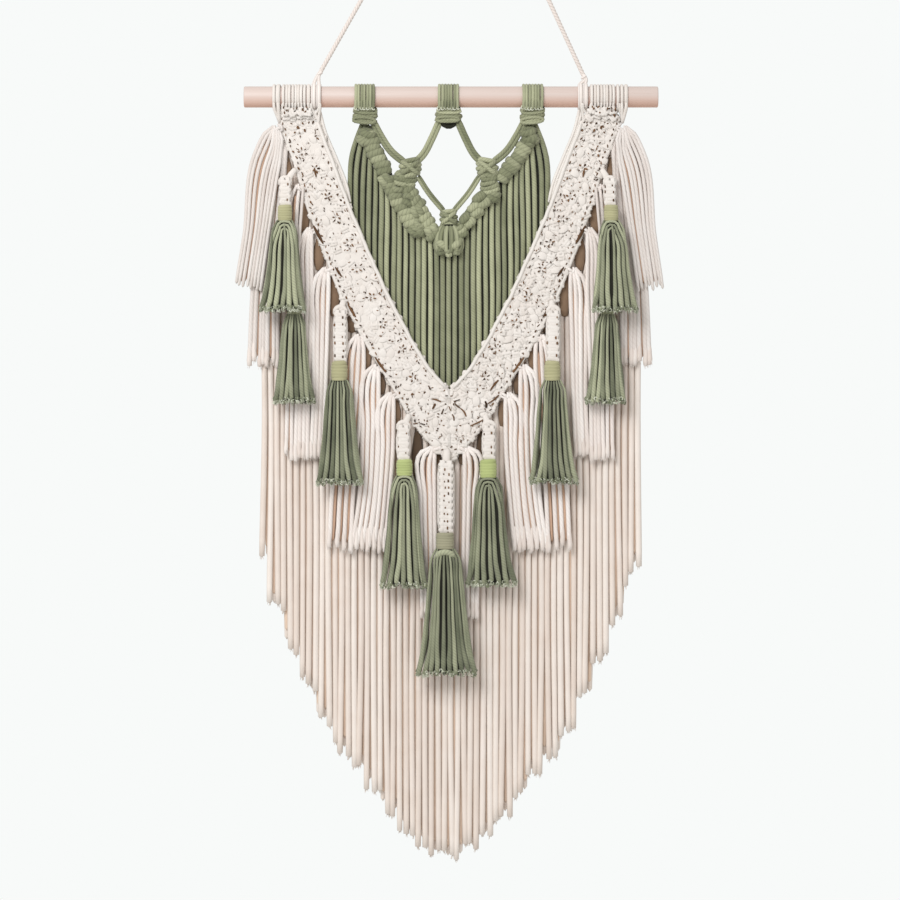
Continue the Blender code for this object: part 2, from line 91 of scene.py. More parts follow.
camera_data = bpy.data.cameras.new("camera")
camera_data.sensor_width = 36.0
camera_data.lens = camera_data.sensor_width * VIEW_FAR / VIEW_WIDE
camera = bpy.data.objects.new("camera", camera_data)
bpy.context.scene.collection.objects.link(camera)
camera.location = Vector(at(VIEW_ACROSS, VIEW_DROP)) - Vector((0, VIEW_FAR, 0))
camera.rotation_euler = (math.radians(90), 0, 0)
bpy.context.scene.camera = camera
print("lens", round(camera_data.lens), "mm")

# %% [markdown]
# ## Finishes
# Everything but the rod is cotton: matt, soft, and a little lighter where fibres stand up. A cord of
# twisted cotton also shows the valleys between its plies. Its colour is never quite even, because cord
# takes dye unevenly along its length and from one cord to the next.

# %% Node helpers
def linear(hex_colour):
    """An sRGB hex colour as the linear colour that a shader wants."""
    parts = [int(hex_colour[k:k + 2], 16) / 255 for k in (1, 3, 5)]
    return (*((c / 12.92 if c <= 0.04045 else ((c + 0.055) / 1.055) ** 2.4) for c in parts), 1.0)


def add(tree, kind, settings=(), sockets=()):
    """Adds a node, with its settings and with values or links for its sockets."""
    node = tree.nodes.new(kind)
    for name, value in dict(settings).items():
        setattr(node, name, value)
    for name, value in dict(sockets).items():
        if isinstance(value, bpy.types.NodeSocket):
            tree.links.new(value, node.inputs[name])
        else:
            node.inputs[name].default_value = value
    return node


def blank(name):
    """A material with a bare Principled shader, its tree, and the shader."""
    made = bpy.data.materials.new(name)
    made.use_nodes = True
    return made, made.node_tree, made.node_tree.nodes["Principled BSDF"]


def mixed(tree, factor, one, two, blend="MIX"):
    """The colour that mixes two others."""
    sockets = {0: factor, 6: one, 7: two}
    return add(tree, "ShaderNodeMix", {"data_type": "RGBA", "blend_type": blend}, sockets).outputs[2]


# %% [markdown]
# Cotton cord is three plies twisted together. Each cord's UV map has U round the cord and V counting turns
# of the plies, so the valleys between plies are a wave in U + V, three to a turn. Dye lies in clouds some
# 22 mm wide. The fibres are a noise of about 1 mm, twice as coarse as real tufts so that they show. Spun
# cotton is rough, has an IOR of 1.5 and a trace of sheen from the fibres that stand off it. The tone is a
# number that each cord carries in its mesh, from 0, the dark colour, to 1, the light one.

# %% Cotton
CLOUDS_A_METRE = 45.0
FIBRES_A_METRE = 900.0
FIBRE_HEIGHT = 0.6 * MM
COTTON_ROUGHNESS = 0.9
PLY_DEPTH = 1.5  # how much deeper a valley between plies is than the fibres are high


def cotton(name, light, dark, plies=0.0, uneven=0.5, fibre=0.25, sheen=0.15):
    """Spun cotton. plies is how dark the valleys between plies look, uneven how strong the clouds of dye."""
    made, tree, shader = blank(name)
    place = add(tree, "ShaderNodeTexCoord")
    clouds = add(tree, "ShaderNodeTexNoise", {},
                 {"Vector": place.outputs["Object"], "Scale": CLOUDS_A_METRE, "Detail": 3.0})
    hairs = add(tree, "ShaderNodeTexNoise", {},
                {"Vector": place.outputs["Object"], "Scale": FIBRES_A_METRE, "Detail": 2.0})
    tone = add(tree, "ShaderNodeAttribute", {"attribute_name": "tone"})
    even = add(tree, "ShaderNodeMath", {"operation": "MULTIPLY_ADD"},
               {0: clouds.outputs["Fac"], 1: uneven, 2: -uneven / 2})
    both = add(tree, "ShaderNodeMath", {"operation": "ADD", "use_clamp": True},
               {0: even.outputs[0], 1: tone.outputs["Fac"]})
    colour = mixed(tree, both.outputs[0], linear(dark), linear(light))
    height = hairs.outputs["Fac"]
    if plies:
        around = add(tree, "ShaderNodeSeparateXYZ", {}, {0: place.outputs["UV"]})
        turned = add(tree, "ShaderNodeMath", {"operation": "ADD"},
                     {0: around.outputs[0], 1: around.outputs[1]})
        turn = add(tree, "ShaderNodeMath", {"operation": "MULTIPLY"}, {0: turned.outputs[0], 1: 3 * math.pi})
        wave = add(tree, "ShaderNodeMath", {"operation": "SINE"}, {0: turn.outputs[0]})
        ply = add(tree, "ShaderNodeMath", {"operation": "ABSOLUTE"}, {0: wave.outputs[0]})
        valley = add(tree, "ShaderNodeMapRange", {},
                     {"Value": ply.outputs[0], "From Max": 0.6, "To Min": 1.0 - plies})
        colour = mixed(tree, 1.0, colour, valley.outputs[0], "MULTIPLY")
        deep = add(tree, "ShaderNodeMath", {"operation": "MULTIPLY_ADD"},
                   {0: ply.outputs[0], 1: PLY_DEPTH, 2: height})
        height = deep.outputs[0]
    bump = add(tree, "ShaderNodeBump", {}, {"Strength": fibre, "Distance": FIBRE_HEIGHT, "Height": height})
    tree.links.new(colour, shader.inputs["Base Color"])
    tree.links.new(bump.outputs[0], shader.inputs["Normal"])
    shader.inputs["Roughness"].default_value = COTTON_ROUGHNESS
    shader.inputs["Sheen Weight"].default_value = sheen
    shader.inputs["Sheen Roughness"].default_value = 0.6
    return made


# %% [markdown]
# The green cords are dyed sage, and what winds the tassels is dyed lighter or greyer. The cream ones are
# unbleached or combed cotton, so they differ a little in warmth, and most bunches have a lighter copy of the
# combed cotton, which is painted light against the shade they hang in. Cords that lie behind others get
# little light, and a render lets in more of it than a dense piece of knotting does, so they have painted
# shade: colours that are darker and warmer, without sheen.

# %% The cottons of the hanging
SAGE = cotton("twisted sage cotton cord", "#BDC09E", "#575D3F", plies=0.3)
SKIRT_SAGE = cotton("sage cotton fringe cord", "#B0B496", "#363E29", plies=0.36)
# Painted shade: a dark sage for cords that lie behind others.
SAGE_PAINTED_SHADE = cotton("sage cotton cord in the layer behind", "#28291A", "#100F08", sheen=0.0)
BRIGHT = cotton("light green cotton wrapping", "#BAC585", "#98A468")
GREYED = cotton("grey green cotton wrapping", "#A8A58A", "#888570")
PALE_SAGE = cotton("pale sage cotton wrapping", "#B9B68E", "#989672")
FRAYED = cotton("frayed sage cotton ends", "#E3E6D4", "#6F7658")
CREAM = cotton("cream cotton knotting", "#E7E2DD", "#D5CAC1", uneven=0.6)
PALE = cotton("off-white cotton cord", "#F0E8E1", "#DACABE", uneven=0.6)
# Painted shade: a darker, warmer off-white for the fringe's layer behind.
PALE_PAINTED_SHADE = cotton("off-white cotton cord in the layer behind", "#F2DDCB", "#DCC3AE")
COMBED = cotton("off-white combed cotton cord", "#E6E0DC", "#D0C3BB", plies=0.08, uneven=0.6)
# Painted light: a lighter copy of the combed cotton, for bunches that hang in shade.
COMBED_PAINTED_LIGHT = cotton("bleached combed cotton cord", "#F4EEEA", "#DED0C8", plies=0.08, uneven=0.6)
# Painted shade: the cords seen through the gaps inside a bunch.
BUNCH_PAINTED_SHADE = cotton("shaded cotton cord inside a bunch", "#DABBA4", "#BD9A81", sheen=0.0)
BRUSHED = cotton("brushed off-white cotton ends", "#EEE7E2", "#D8CAC1")
ROPE = cotton("off-white three-ply cotton rope", "#F0E8E3", "#D9CCC4", plies=0.3)
# Painted shade: tan-brown leaves in the gaps beside the bundles.
LEAF_PAINTED_SHADE = cotton("tan cotton backing cord", "#957A62", "#54412F")
# Painted shadow: dark brown specks and slits where one sees into the holes of the knotting.
HOLE_PAINTED_SHADOW = cotton("dark inside of the knotting", "#85603F", "#38230F", sheen=0.0)

# %% [markdown]
# The rod is a sanded beech dowel with a pale pink water stain. Stain sinks into the open grain, so fine
# darker streaks some 2 mm wide run along it, stretched about forty times along the rod. Its lower half is
# mixed towards a darker, warmer tint, which is painted shade. The satin comes from a thin coat of wax.

# %% Stained dowel
STREAKS_A_METRE = (12.0, 500.0, 500.0)
STAIN_CLOUDS_A_METRE = 14.0
UNDERSIDE_SHADE_FROM = -1.0  # the drop where the painted shade of the underside starts


def dowel_finish():
    made, tree, shader = blank("pink stained beech dowel")
    place = add(tree, "ShaderNodeTexCoord")
    spot = place.outputs["Object"]
    along_rod = add(tree, "ShaderNodeMapping", {}, {"Vector": spot, "Scale": STREAKS_A_METRE})
    grain = add(tree, "ShaderNodeTexNoise", {}, {"Vector": along_rod.outputs[0], "Scale": 1.0, "Detail": 4.0})
    cloud = add(tree, "ShaderNodeTexNoise", {},
                {"Vector": spot, "Scale": STAIN_CLOUDS_A_METRE, "Detail": 2.0})
    streak = mixed(tree, grain.outputs["Fac"], linear("#CAB4AA"), linear("#D9CCC6"))
    colour = mixed(tree, cloud.outputs["Fac"], streak, linear("#D3C3BC"))
    height = add(tree, "ShaderNodeSeparateXYZ", {}, {0: spot})
    # Painted shade: the lower half of the rod is mixed towards a darker, warmer tint.
    underside_shade = add(tree, "ShaderNodeMapRange", {},
                 {"Value": height.outputs[2], "From Min": at(0, ROD_RADIUS)[2],
                  "From Max": at(0, UNDERSIDE_SHADE_FROM)[2], "To Min": 0.75, "To Max": 0.0})
    colour = mixed(tree, underside_shade.outputs[0], colour, linear("#D9A58C"))
    bump = add(tree, "ShaderNodeBump", {},
               {"Strength": 0.12, "Distance": 0.4 * MM, "Height": grain.outputs["Fac"]})
    tree.links.new(colour, shader.inputs["Base Color"])
    tree.links.new(bump.outputs[0], shader.inputs["Normal"])
    shader.inputs["Roughness"].default_value = 0.48
    return made


DOWEL = dowel_finish()

# %% [markdown]
# ## How a cord is made
# A cord could be a bevelled curve, but a curve can't carry a tone for each cord or plies that turn with it.
# Here a cord is a flat grid of quads rolled round a smooth line, as a sheet of paper is rolled into a tube.
# On its UV map U runs round the cord and V counts the turns of its plies, so U + V is the same all along
# one ply.

# %% A cord and its line
Cord = namedtuple("Cord", "line girth sides rings turns lobe flat closed tone blunt")
EVEN = ((0.0, 1.0), (1.0, 1.0))


def cord(line, thick, step=4.0, sides=8, lay=0.0, lobe=0.0, flat=1.0, closed=False, tone=0.5, girth=EVEN,
         blunt=False):
    """A cord along a line in metres. thick is its width in millimetres, step how far apart its rings are, lay
    the length of one turn of its plies, and girth pairs of (share of the length, share of the thickness)."""
    line = np.array(line, float)
    length = float(np.linalg.norm(np.diff(line, axis=0), axis=1).sum()) / MM
    shares, sizes = zip(*girth)
    radii = [thick / 2 * MM * size for size in sizes]
    return Cord(line, (shares, radii), sides, max(3, round(length / step)), length / lay if lay else 0.0,
                lobe, flat, closed, tone, blunt)


def smooth(points, shares, closed=False):
    """Points at these shares of a smooth curve through the given ones."""
    count = len(points)
    if closed:
        points = np.vstack([points[-2:], points, points[:3]])
    marks = np.concatenate([[0.0], np.cumsum(np.linalg.norm(np.diff(points, axis=0), axis=1))])
    slopes = np.gradient(points, marks, axis=0)
    first, last = (marks[2], marks[2 + count]) if closed else (0.0, marks[-1])
    fine = first + (last - first) * shares
    k = np.clip(np.searchsorted(marks, fine, side="right") - 1, 0, len(points) - 2)
    width = (marks[k + 1] - marks[k])[:, None]
    t = (fine[:, None] - marks[k][:, None]) / width
    return (points[k] * (2 * t**3 - 3 * t**2 + 1) + slopes[k] * width * (t**3 - 2 * t**2 + t)
            + points[k + 1] * (3 * t**2 - 2 * t**3) + slopes[k + 1] * width * (t**3 - t**2))


# %% [markdown]
# A cut cord's end is a cap: its last ring shrinks to a point, and the ring before it is moved close to the
# end, closer for a blunt cut than for a soft tip. The rings turn as little as possible from one to the
# next, so that a bent cord isn't wrung.

# %% Rolling a cord
CAP_LONG, CAP_WIDE = 0.3, 0.8  # the cap's length in ring steps, and the width of the ring before it
BLUNT_LONG, BLUNT_WIDE = 0.06, 0.95


def ring_frames(line, closed):
    """At every ring of a line, the way to one side of it and the way to its front."""
    ways = np.gradient(line, axis=0)
    if closed:
        ways[0] = ways[-1] = line[1] - line[-2]
    ways /= np.linalg.norm(ways, axis=1)[:, None]
    side = np.array((1.0, 0.0, 0.0)) if abs(ways[0][0]) < 0.8 else np.array((0.0, 0.0, 1.0))
    sides = []
    for way in ways:
        side = side - way * side.dot(way)
        side = side / np.linalg.norm(side)
        sides.append(side)
    return np.array(sides), np.cross(ways, sides)


def roll(shape, made, tone, uv):
    """Adds a cord to a bmesh. An open cord closes to a point at both ends, a closed one meets itself."""
    verts = bmesh.ops.create_grid(shape, x_segments=made.sides, y_segments=made.rings, size=1)["verts"]
    shares = np.linspace(0, 1, made.rings + 1)
    radii = np.interp(shares, *made.girth)
    if not made.closed:
        shares[1] *= CAP_LONG
        shares[-2] = 1 - (BLUNT_LONG if made.blunt else CAP_LONG) / made.rings
        radii[[0, -1]] = 0.0
        radii[1] *= CAP_WIDE
        radii[-2] *= BLUNT_WIDE if made.blunt else CAP_WIDE
    line = smooth(made.line, shares, made.closed)
    sides, fronts = ring_frames(line, made.closed)
    flat = np.array([vert.co[:2] for vert in verts])
    around = (flat[:, 0] + 1) / 2
    row = np.rint((flat[:, 1] + 1) / 2 * made.rings).astype(int)
    turned = made.turns * shares[row]
    angle = 2 * math.pi * around
    reach = radii[row] * (1 - made.lobe * np.cos(6 * math.pi * (around + turned)))
    aside = sides[row] * np.cos(angle)[:, None] + fronts[row] * made.flat * np.sin(angle)[:, None]
    spots = line[row] + aside * reach[:, None]
    for vert, spot, u, v in zip(verts, spots.tolist(), around.tolist(), turned.tolist()):
        vert.co = spot
        vert[tone] = made.tone
        for corner in vert.link_loops:
            corner[uv].uv = (u, v)


# %% [markdown]
# A piece is one object of many cords. It rides on the hanging's one body and hides the imported node that it
# stands for.


def settle(name, shape, finish, node):
    """Turns a finished bmesh into a piece of the hanging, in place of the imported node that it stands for."""
    bmesh.ops.recalc_face_normals(shape, faces=shape.faces)
    for face in shape.faces:
        face.smooth = True
    mesh = bpy.data.meshes.new(name)
    shape.to_mesh(mesh)
    shape.free()
    mesh.materials.append(finish)
    made = bpy.data.objects.new(name, mesh)
    bpy.context.scene.collection.objects.link(made)
    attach(made, "root")
    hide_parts(node)
    print(f"{name}: {sum(len(p.vertices) - 2 for p in mesh.polygons)} triangles")
    return made


def piece(name, cords, finish, node):
    """One piece made of cords."""
    shape = bmesh.new()
    uv = shape.loops.layers.uv.new("UVMap")
    tone = shape.verts.layers.float.new("tone")
    for each in cords:
        roll(shape, each, tone, uv)
    bmesh.ops.remove_doubles(shape, verts=shape.verts, dist=2e-7)
    return settle(name, shape, finish, node)


# %% [markdown]
# Three lines come back all over the hanging: a level ring round other cords, a ring round the rod, and the
# loose fibres of a cut end. Each piece of cotton differs a little from the next, so sizes and tones are
# drawn at random, from one fixed start, which makes the hanging come out the same each time.

# %% Rings and loose fibres
draw = random.Random(11)
WISP_GIRTH = ((0, 1), (0.6, 0.8), (1, 0.2))
DOWN = np.array((0, 0, -1.0))


def stray(reach):
    """How far something lies off its place, by chance."""
    return draw.uniform(-reach, reach)


def circle(count, start=0.0):
    """So many angles all round a circle."""
    return [start + 2 * math.pi * k / count for k in range(count)]


def ring(centre, wide, deep, tilt=0.0, slant=0.0):
    """A closed line in a level ring. tilt and slant are how far its side and its front are moved up."""
    return [centre + mm(wide * math.sin(a), -deep * math.cos(a), tilt * math.sin(a) + slant * math.cos(a))
            for a in circle(12)]


def round_rod(across, thick, lean=0.0):
    """A closed line round the rod, a cord's half thickness off it."""
    reach = ROD_RADIUS + GAP + thick / 2
    return [at(across + lean * math.sin(a), -reach * math.cos(a), reach * math.sin(a)) for a in circle(16)]


def wisps(end, count, length, spread, thick=0.9, tone=0.8):
    """Loose fibres at a cut end, curling a little as they hang and fan out."""
    made = []
    for _ in range(count):
        aside = np.array((stray(1), stray(0.7), 0.0)) * spread
        reach = length * draw.uniform(0.45, 1.0)
        curl = np.array((stray(1), stray(1), 0.0)) * spread * 0.5
        spots = [end + (aside * t**1.5 + curl * math.sin(3 * t) + DOWN * reach * t) * MM
                 for t in (0.0, 0.35, 0.7, 1.0)]
        made.append(cord(spots, thick, step=reach / 4, sides=3, tone=tone + stray(0.15), girth=WISP_GIRTH))
    return made


# %% [markdown]
# ## Rod
# A dowel is a plain cylinder, but a sanded one has softened ends. A cone with equal radii makes it, and a
# bevel with three segments rounds its rims.

# %% Rod
ROD_SIDES = 64
ROD_EDGE = 1.2


def make_rod():
    shape = bmesh.new()
    bmesh.ops.create_cone(shape, cap_ends=True, segments=ROD_SIDES, radius1=ROD_RADIUS * MM,
                          radius2=ROD_RADIUS * MM, depth=ROD_LENGTH * MM)
    rims = [edge for edge in shape.edges if len(edge.link_faces[0].verts) != len(edge.link_faces[1].verts)]
    bmesh.ops.bevel(shape, geom=rims, offset=ROD_EDGE * MM, segments=3, profile=0.5, affect="EDGES",
                    material=-1)
    for vert in shape.verts:
        vert.co = Vector(at(0, 0)) + Vector((vert.co.z, vert.co.y, vert.co.x))
    settle("rod_dowel", shape, DOWEL, "rod")


make_rod()

# %% [markdown]
# ## Hanging cord
# One cotton rope is hitched to the rod at both ends and knotted into a loop on the nail, out of the
# picture. It is held taut by the weight, so each leg is a straight line. Three lobes turn once every 11 mm,
# which is the lay of real 4.5 mm rope, and the pull makes it a little thinner. The knot under the loop is
# four tilted turns.

# %% Hanging cord
HANG_CORD = 4.5
TAUT_CORD = HANG_CORD * 0.94
ROPE_LAY = 11.0
LOOP_RADIUS = 8.75
LOOP_TURNS = ((9.8, 3.8, 1.2), (13.0, 5.2, -1.8), (16.6, 5.4, 1.8), (20.0, 4.0, -1.2))  # drop, reach, tilt
KNOT_DROP = 14.0
KNOT_REACH = 8.5
LEG_POINTS = 22
HITCH_TOPS = {"left": (-131.2, -24.0), "right": (132.8, -20.5)}


def leg_ends(side):
    """A leg's top in the knot, its foot on the hitch, and the way up from the one to the other."""
    top, foot = mm(0.0, 0.0, -KNOT_DROP), at(*HITCH_TOPS[side])
    return top, foot, (top - foot) / np.linalg.norm(top - foot)


def make_leg(side):
    top, foot, way = leg_ends(side)
    start = foot + way * GAP * MM
    end = top - way * KNOT_REACH * MM
    points = [start + (end - start) * k / (LEG_POINTS - 1) for k in range(LEG_POINTS)]
    rope = cord(points, TAUT_CORD, step=1.0, sides=12, lay=ROPE_LAY, lobe=0.12)
    made = piece(f"hang_leg_{side}", [rope], ROPE, f"hang_cord_{side}")


def make_loop():
    loop = [mm(LOOP_RADIUS * math.sin(a), 0.0, LOOP_RADIUS * math.cos(a)) for a in circle(14)]
    cords = [cord(loop, TAUT_CORD, step=1.2, sides=12, lay=ROPE_LAY * 0.9, lobe=0.12, closed=True)]
    for drop, reach, tilt in LOOP_TURNS:
        cords.append(cord(ring(mm(0, 0, -drop), reach, reach * 0.7, tilt), TAUT_CORD, step=1.2, sides=10,
                          lay=ROPE_LAY, lobe=0.1, closed=True))
    for side in ("left", "right"):
        top, _, way = leg_ends(side)
        cords.append(cord([top - way * (KNOT_REACH + 1.2) * MM, top - way * 4 * MM, top], HANG_CORD * 0.97,
                          step=1.2, sides=10))
    piece("hang_loop_rope", cords, ROPE, "hang_loop")


make_loop()

# %% [markdown]
# Each hitch is two turns round the rod, side by side. The leg's two strands come down from it, one to each
# turn, and a small collar of cord binds them where they part.

# %% Hitches
HITCHES = {"left": (-139.8, -129.6), "right": (126.6, 136.8)}
HITCH_DEEP = 3.0
STRAND_PARTS = 3.5  # the strands start this far above the leg's foot and are apart as far below it


def make_hitch(side):
    left, right = HITCHES[side]
    thick = (right - left) / 2
    _, foot, way = leg_ends(side)
    turns = (left + thick / 2, right - thick / 2)
    cords = [cord(round_rod(across, HITCH_DEEP), thick * 0.96, step=2.0, sides=10, flat=0.6, closed=True,
                  tone=0.9) for across in turns]
    for across, aside in zip(turns, (-0.9, 0.9)):
        line = [foot + way * STRAND_PARTS * MM + mm(aside * 0.5, -0.8, 0),
                foot + (np.array((aside, -0.6, 0)) - way * STRAND_PARTS) * MM,
                at(across, -ROD_RADIUS - 2.5, -1.5), at(across, -ROD_RADIUS + 3, -7.0)]
        cords.append(cord(line, 3.9, step=1.2, tone=0.8, girth=((0, 0.7), (0.5, 0.9), (1, 1.0))))
    cords.append(cord(ring(foot - mm(0, 0, 0.8), 1.9, 1.9, 0.9), 2.4, step=0.8, closed=True, tone=0.8))
    piece(f"hang_hitch_rope_{side}", cords, ROPE, f"hang_hitch_{side}")


for side in ("left", "right"):
    make_leg(side)
    make_hitch(side)

# %% [markdown]
# ## Wraps on the rod
# The knotting is cast on to the rod: each cord goes round it several times, pressed flat and side by side.
# Closed rings make them, each with its own width and tone. The outermost cords are thicker, and the ones
# between are a fine whipping. From each ring a cord runs down in front of the rod and one behind it, into
# the first knots.

# %% Cream wraps
WRAP_THICK = 2.2
CREAM_WRAPS = {  # the left and the right edge of each turn
    "left": ((-178.3, -175.2), (-174.6, -170.1), (-168.7, -165.9), (-165.7, -162.8), (-162.6, -159.8),
             (-159.6, -156.7), (-156.5, -153.8), (-153.6, -150.7), (-150.5, -147.7), (-147.5, -144.7),
             (-144.3, -140.5)),
    "right": ((138.9, 142.0), (142.4, 145.3), (145.5, 148.4), (148.6, 151.5), (151.7, 154.5), (154.7, 157.4),
              (157.6, 160.4), (160.6, 163.3), (164.9, 168.0), (169.0, 172.2), (173.0, 176.7)),
}
OUTER_WRAPS = 169.0  # the turns past this are the outer ones, which run down the band's edge
OUTER_FOOT = 171.0
OUTER_LOW = 27
FIRST_KNOTS = 16
# Strands from the wraps to the band's edges: where one starts, where it ends and how low
EDGE_STRANDS = ((168.0, 172.0, 27.0), (130.5, 133.0, 30.0), (139.5, 131.5, 27.0), (131.5, 141.0, 26.0))


def wrap_cords(spans, thick, tones=(0.5, 0.9)):
    """Turns round the rod, each pressed flat into its span."""
    return [cord(round_rod((left + right) / 2, thick, lean=stray(0.5)), right - left, step=3.0,
                 flat=thick / (right - left), closed=True, tone=draw.uniform(*tones))
            for left, right in spans]


def make_wraps(side, sign):
    cords = wrap_cords(CREAM_WRAPS[side], WRAP_THICK)
    for left, right in CREAM_WRAPS[side]:
        across = (left + right) / 2
        outer = abs(across) > OUTER_WRAPS
        foot = sign * OUTER_FOOT if outer else across + sign * stray(1)
        low = OUTER_LOW if outer else FIRST_KNOTS
        for depth in (-1, 1):
            line = [at(across, 6, depth * 12.2), at(across, 10.5, depth * 9.5 - 2),
                    at((across + foot) / 2, (10.5 + low) / 2, depth * 3 - 4),
                    at(foot, low, depth * 1.0 - 3.5)]
            cords.append(cord(line, min(3.8, right - left), sides=6, tone=draw.uniform(0.5, 0.9)))
    for start, end, low in EDGE_STRANDS:
        line = [at(sign * start, 7, -12.0), at(sign * start, 11.5, -9.0),
                at(sign * (start + end) / 2, 18, -6.0), at(sign * end, low, -4.5)]
        cords.append(cord(line, 3.0, step=3.0, sides=6, tone=0.8))
    piece(f"band_wraps_{side}", cords, CREAM, "cream_band")


for side, sign in (("left", -1), ("right", 1)):
    make_wraps(side, sign)

# %% [markdown]
# ## Knotted band
# The wide V is knotted from hundreds of square knots: over two filler cords, one bar crosses and a loop
# turns down each side. Where knots meet, small dark holes are left. Each knot is four short cords of a few
# dozen faces, laid in level rows from one slanting edge to the other. A sheet behind them closes the band.
# The band is given by how far out its inner and its outer edge lie at a few drops.

# %% The band's outline
BandRow = namedtuple("BandRow", "drop inner outer")
BAND = (BandRow(11.8, 139.2, 166.0), BandRow(26.0, 131.0, 171.5), BandRow(62.0, 117.5, 156.5),
        BandRow(108.0, 100.5, 143.0), BandRow(152.0, 82.0, 127.5), BandRow(200.0, 60.5, 108.5),
        BandRow(240.0, 39.5, 87.5), BandRow(272.0, 20.0, 68.5), BandRow(294.0, 0.0, 54.5),
        BandRow(325.0, 0.0, 37.0), BandRow(350.0, 0.0, 16.0), BandRow(366.0, 0.0, 4.0))
BAND_DEPTH = -3.0
MAT_DEPTH = BAND_DEPTH - 2.2  # where the rows of knots lie


def edge(side, drop):
    """How far out the band's inner or outer edge lies at this drop."""
    return float(np.interp(drop, [row.drop for row in BAND], [getattr(row, side) for row in BAND]))


def slope(side, drop, reach=12):
    """How far an edge of the band leans at this drop, as an angle from straight down."""
    return math.atan2(edge(side, drop - reach) - edge(side, drop + reach), 2.0 * reach)


# %% [markdown]
# A knot is drawn in its own square, from -0.5 to 0.5 across and down, and set in its place with its width,
# its height, how far it lifts off the band and how far it leans.

# %% One square knot
def square_knot(spot, wide, high, lift, lean, tones=(0.5, 1.0), sides=5, flat=0.6, full=1.0):
    """Four cords of one knot: the bar across the fillers, a loop down each side, and the bar's lower turn."""
    across = mm(math.cos(lean) * wide, 0.0, -math.sin(lean) * wide)
    down = mm(-math.sin(lean) * high, 0.0, -math.cos(lean) * high)
    front = mm(0.0, -lift, 0.0)
    twist = stray(0.08)
    lines = (
        ((-0.52, -0.08 + twist, 0.0), (-0.2, -0.04, 0.75), (0.2, 0.04, 0.75), (0.52, 0.08 - twist, 0.0)),
        ((-0.12, -0.55, 0.1), (-0.40, -0.30, 0.55), (-0.42, 0.15, 0.45), (-0.14, 0.52, 0.0)),
        ((0.12, -0.52, 0.0), (0.40, -0.25, 0.50), (0.42, 0.20, 0.50), (0.14, 0.55, 0.1)),
        ((-0.44, 0.30, 0.1), (-0.12, 0.36, 0.6), (0.14, 0.40, 0.6), (0.46, 0.34, 0.1)),
    )
    sizes = (high * 0.46 * full, wide * 0.36 * full, wide * 0.36 * full, high * 0.42 * full)
    return [cord([spot + across * u + down * v + front * w for u, v, w in line], size, step=size * 0.8,
                 sides=sides, flat=flat, tone=draw.uniform(*tones)) for line, size in zip(lines, sizes)]


PETAL = ((0.25, 0.0), (0.5, 0.9), (0.85, 0.9), (1.15, 0.0))  # share of the reach, lift
PETAL_THICK = 5.0


def rosette(spot, row, start=0.0):
    """Short cords set round a small hole, as where several knots are drawn together."""
    cords = []
    for angle in circle(row.petals, start):
        way = mm(math.sin(angle), 0.0, math.cos(angle))
        line = [spot + way * row.reach * share - mm(0, lift, 0) for share, lift in PETAL]
        cords.append(cord(line, PETAL_THICK, step=PETAL_THICK * 0.7, sides=5, flat=0.6,
                          tone=draw.uniform(0.7, 1.0)))
    return cords


PAD_HALF = 5.6
PAD_GIRTH = ((0, 0.5), (0.2, 0.9), (0.5, 1), (0.8, 0.9), (1, 0.5))


def smooth_pad(spot, lift):
    """A smooth flat spot among the knots, where a filler cord lies bare."""
    turn = draw.uniform(0, math.pi)
    way = mm(math.cos(turn) * PAD_HALF, 0.0, math.sin(turn) * PAD_HALF)
    line = [spot + way * t - mm(0, up, 0) for t, up in ((-1, 0), (-0.4, lift), (0.4, lift), (1, 0))]
    return cord(line, draw.uniform(6.5, 9.0), step=2.2, flat=0.14, tone=draw.uniform(0.65, 0.9),
                girth=PAD_GIRTH)


# %% [markdown]
# Where several knots are drawn together they leave a rosette with a hole in it: eleven down each arm and a
# star in the middle of the V. Long slits part the cords below some of them.

# %% Rosettes, slits and holes
Rosette = namedtuple("Rosette", "out drop reach petals", defaults=(6,))
ROSETTES = (Rosette(149.5, 31.0, 6.5, 7), Rosette(146.5, 55.0, 4.6), Rosette(133.5, 72.0, 4.4),
            Rosette(121.0, 100.0, 4.4), Rosette(113.0, 122.0, 4.6), Rosette(101.0, 146.0, 4.4),
            Rosette(92.0, 172.0, 4.6), Rosette(78.0, 200.0, 4.4), Rosette(66.0, 226.0, 4.6),
            Rosette(47.0, 252.0, 4.4), Rosette(36.0, 280.0, 4.6))
STAR = Rosette(0.0, 304.0, 10.0, 11)
Hole = namedtuple("Hole", "out drop wide long lean")
SLITS = (Hole(134.0, 76.0, 2.2, 10.0, 0.2), Hole(131.0, 138.0, 3.6, 22.0, 0.5),
         Hole(111.0, 175.0, 2.6, 12.0, 0.6), Hole(97.5, 214.0, 2.8, 16.0, 0.55),
         Hole(69.0, 268.0, 2.8, 20.0, 0.62))
# The holes of the uppermost rosette
FLOWER = (Hole(151.5, 31.0, 2.8, 3.4, 0.2), Hole(144.5, 34.0, 2.4, 3.4, 0.3),
          Hole(146.5, 27.0, 2.0, 2.8, 0.6), Hole(154.5, 36.0, 1.8, 2.4, -0.8),
          Hole(158.0, 27.0, 1.2, 2.4, 1.2), Hole(140.5, 26.0, 1.4, 2.6, -0.4),
          Hole(150.0, 22.0, 1.2, 2.4, 0.0), Hole(149.0, 40.0, 1.3, 2.6, 0.1))
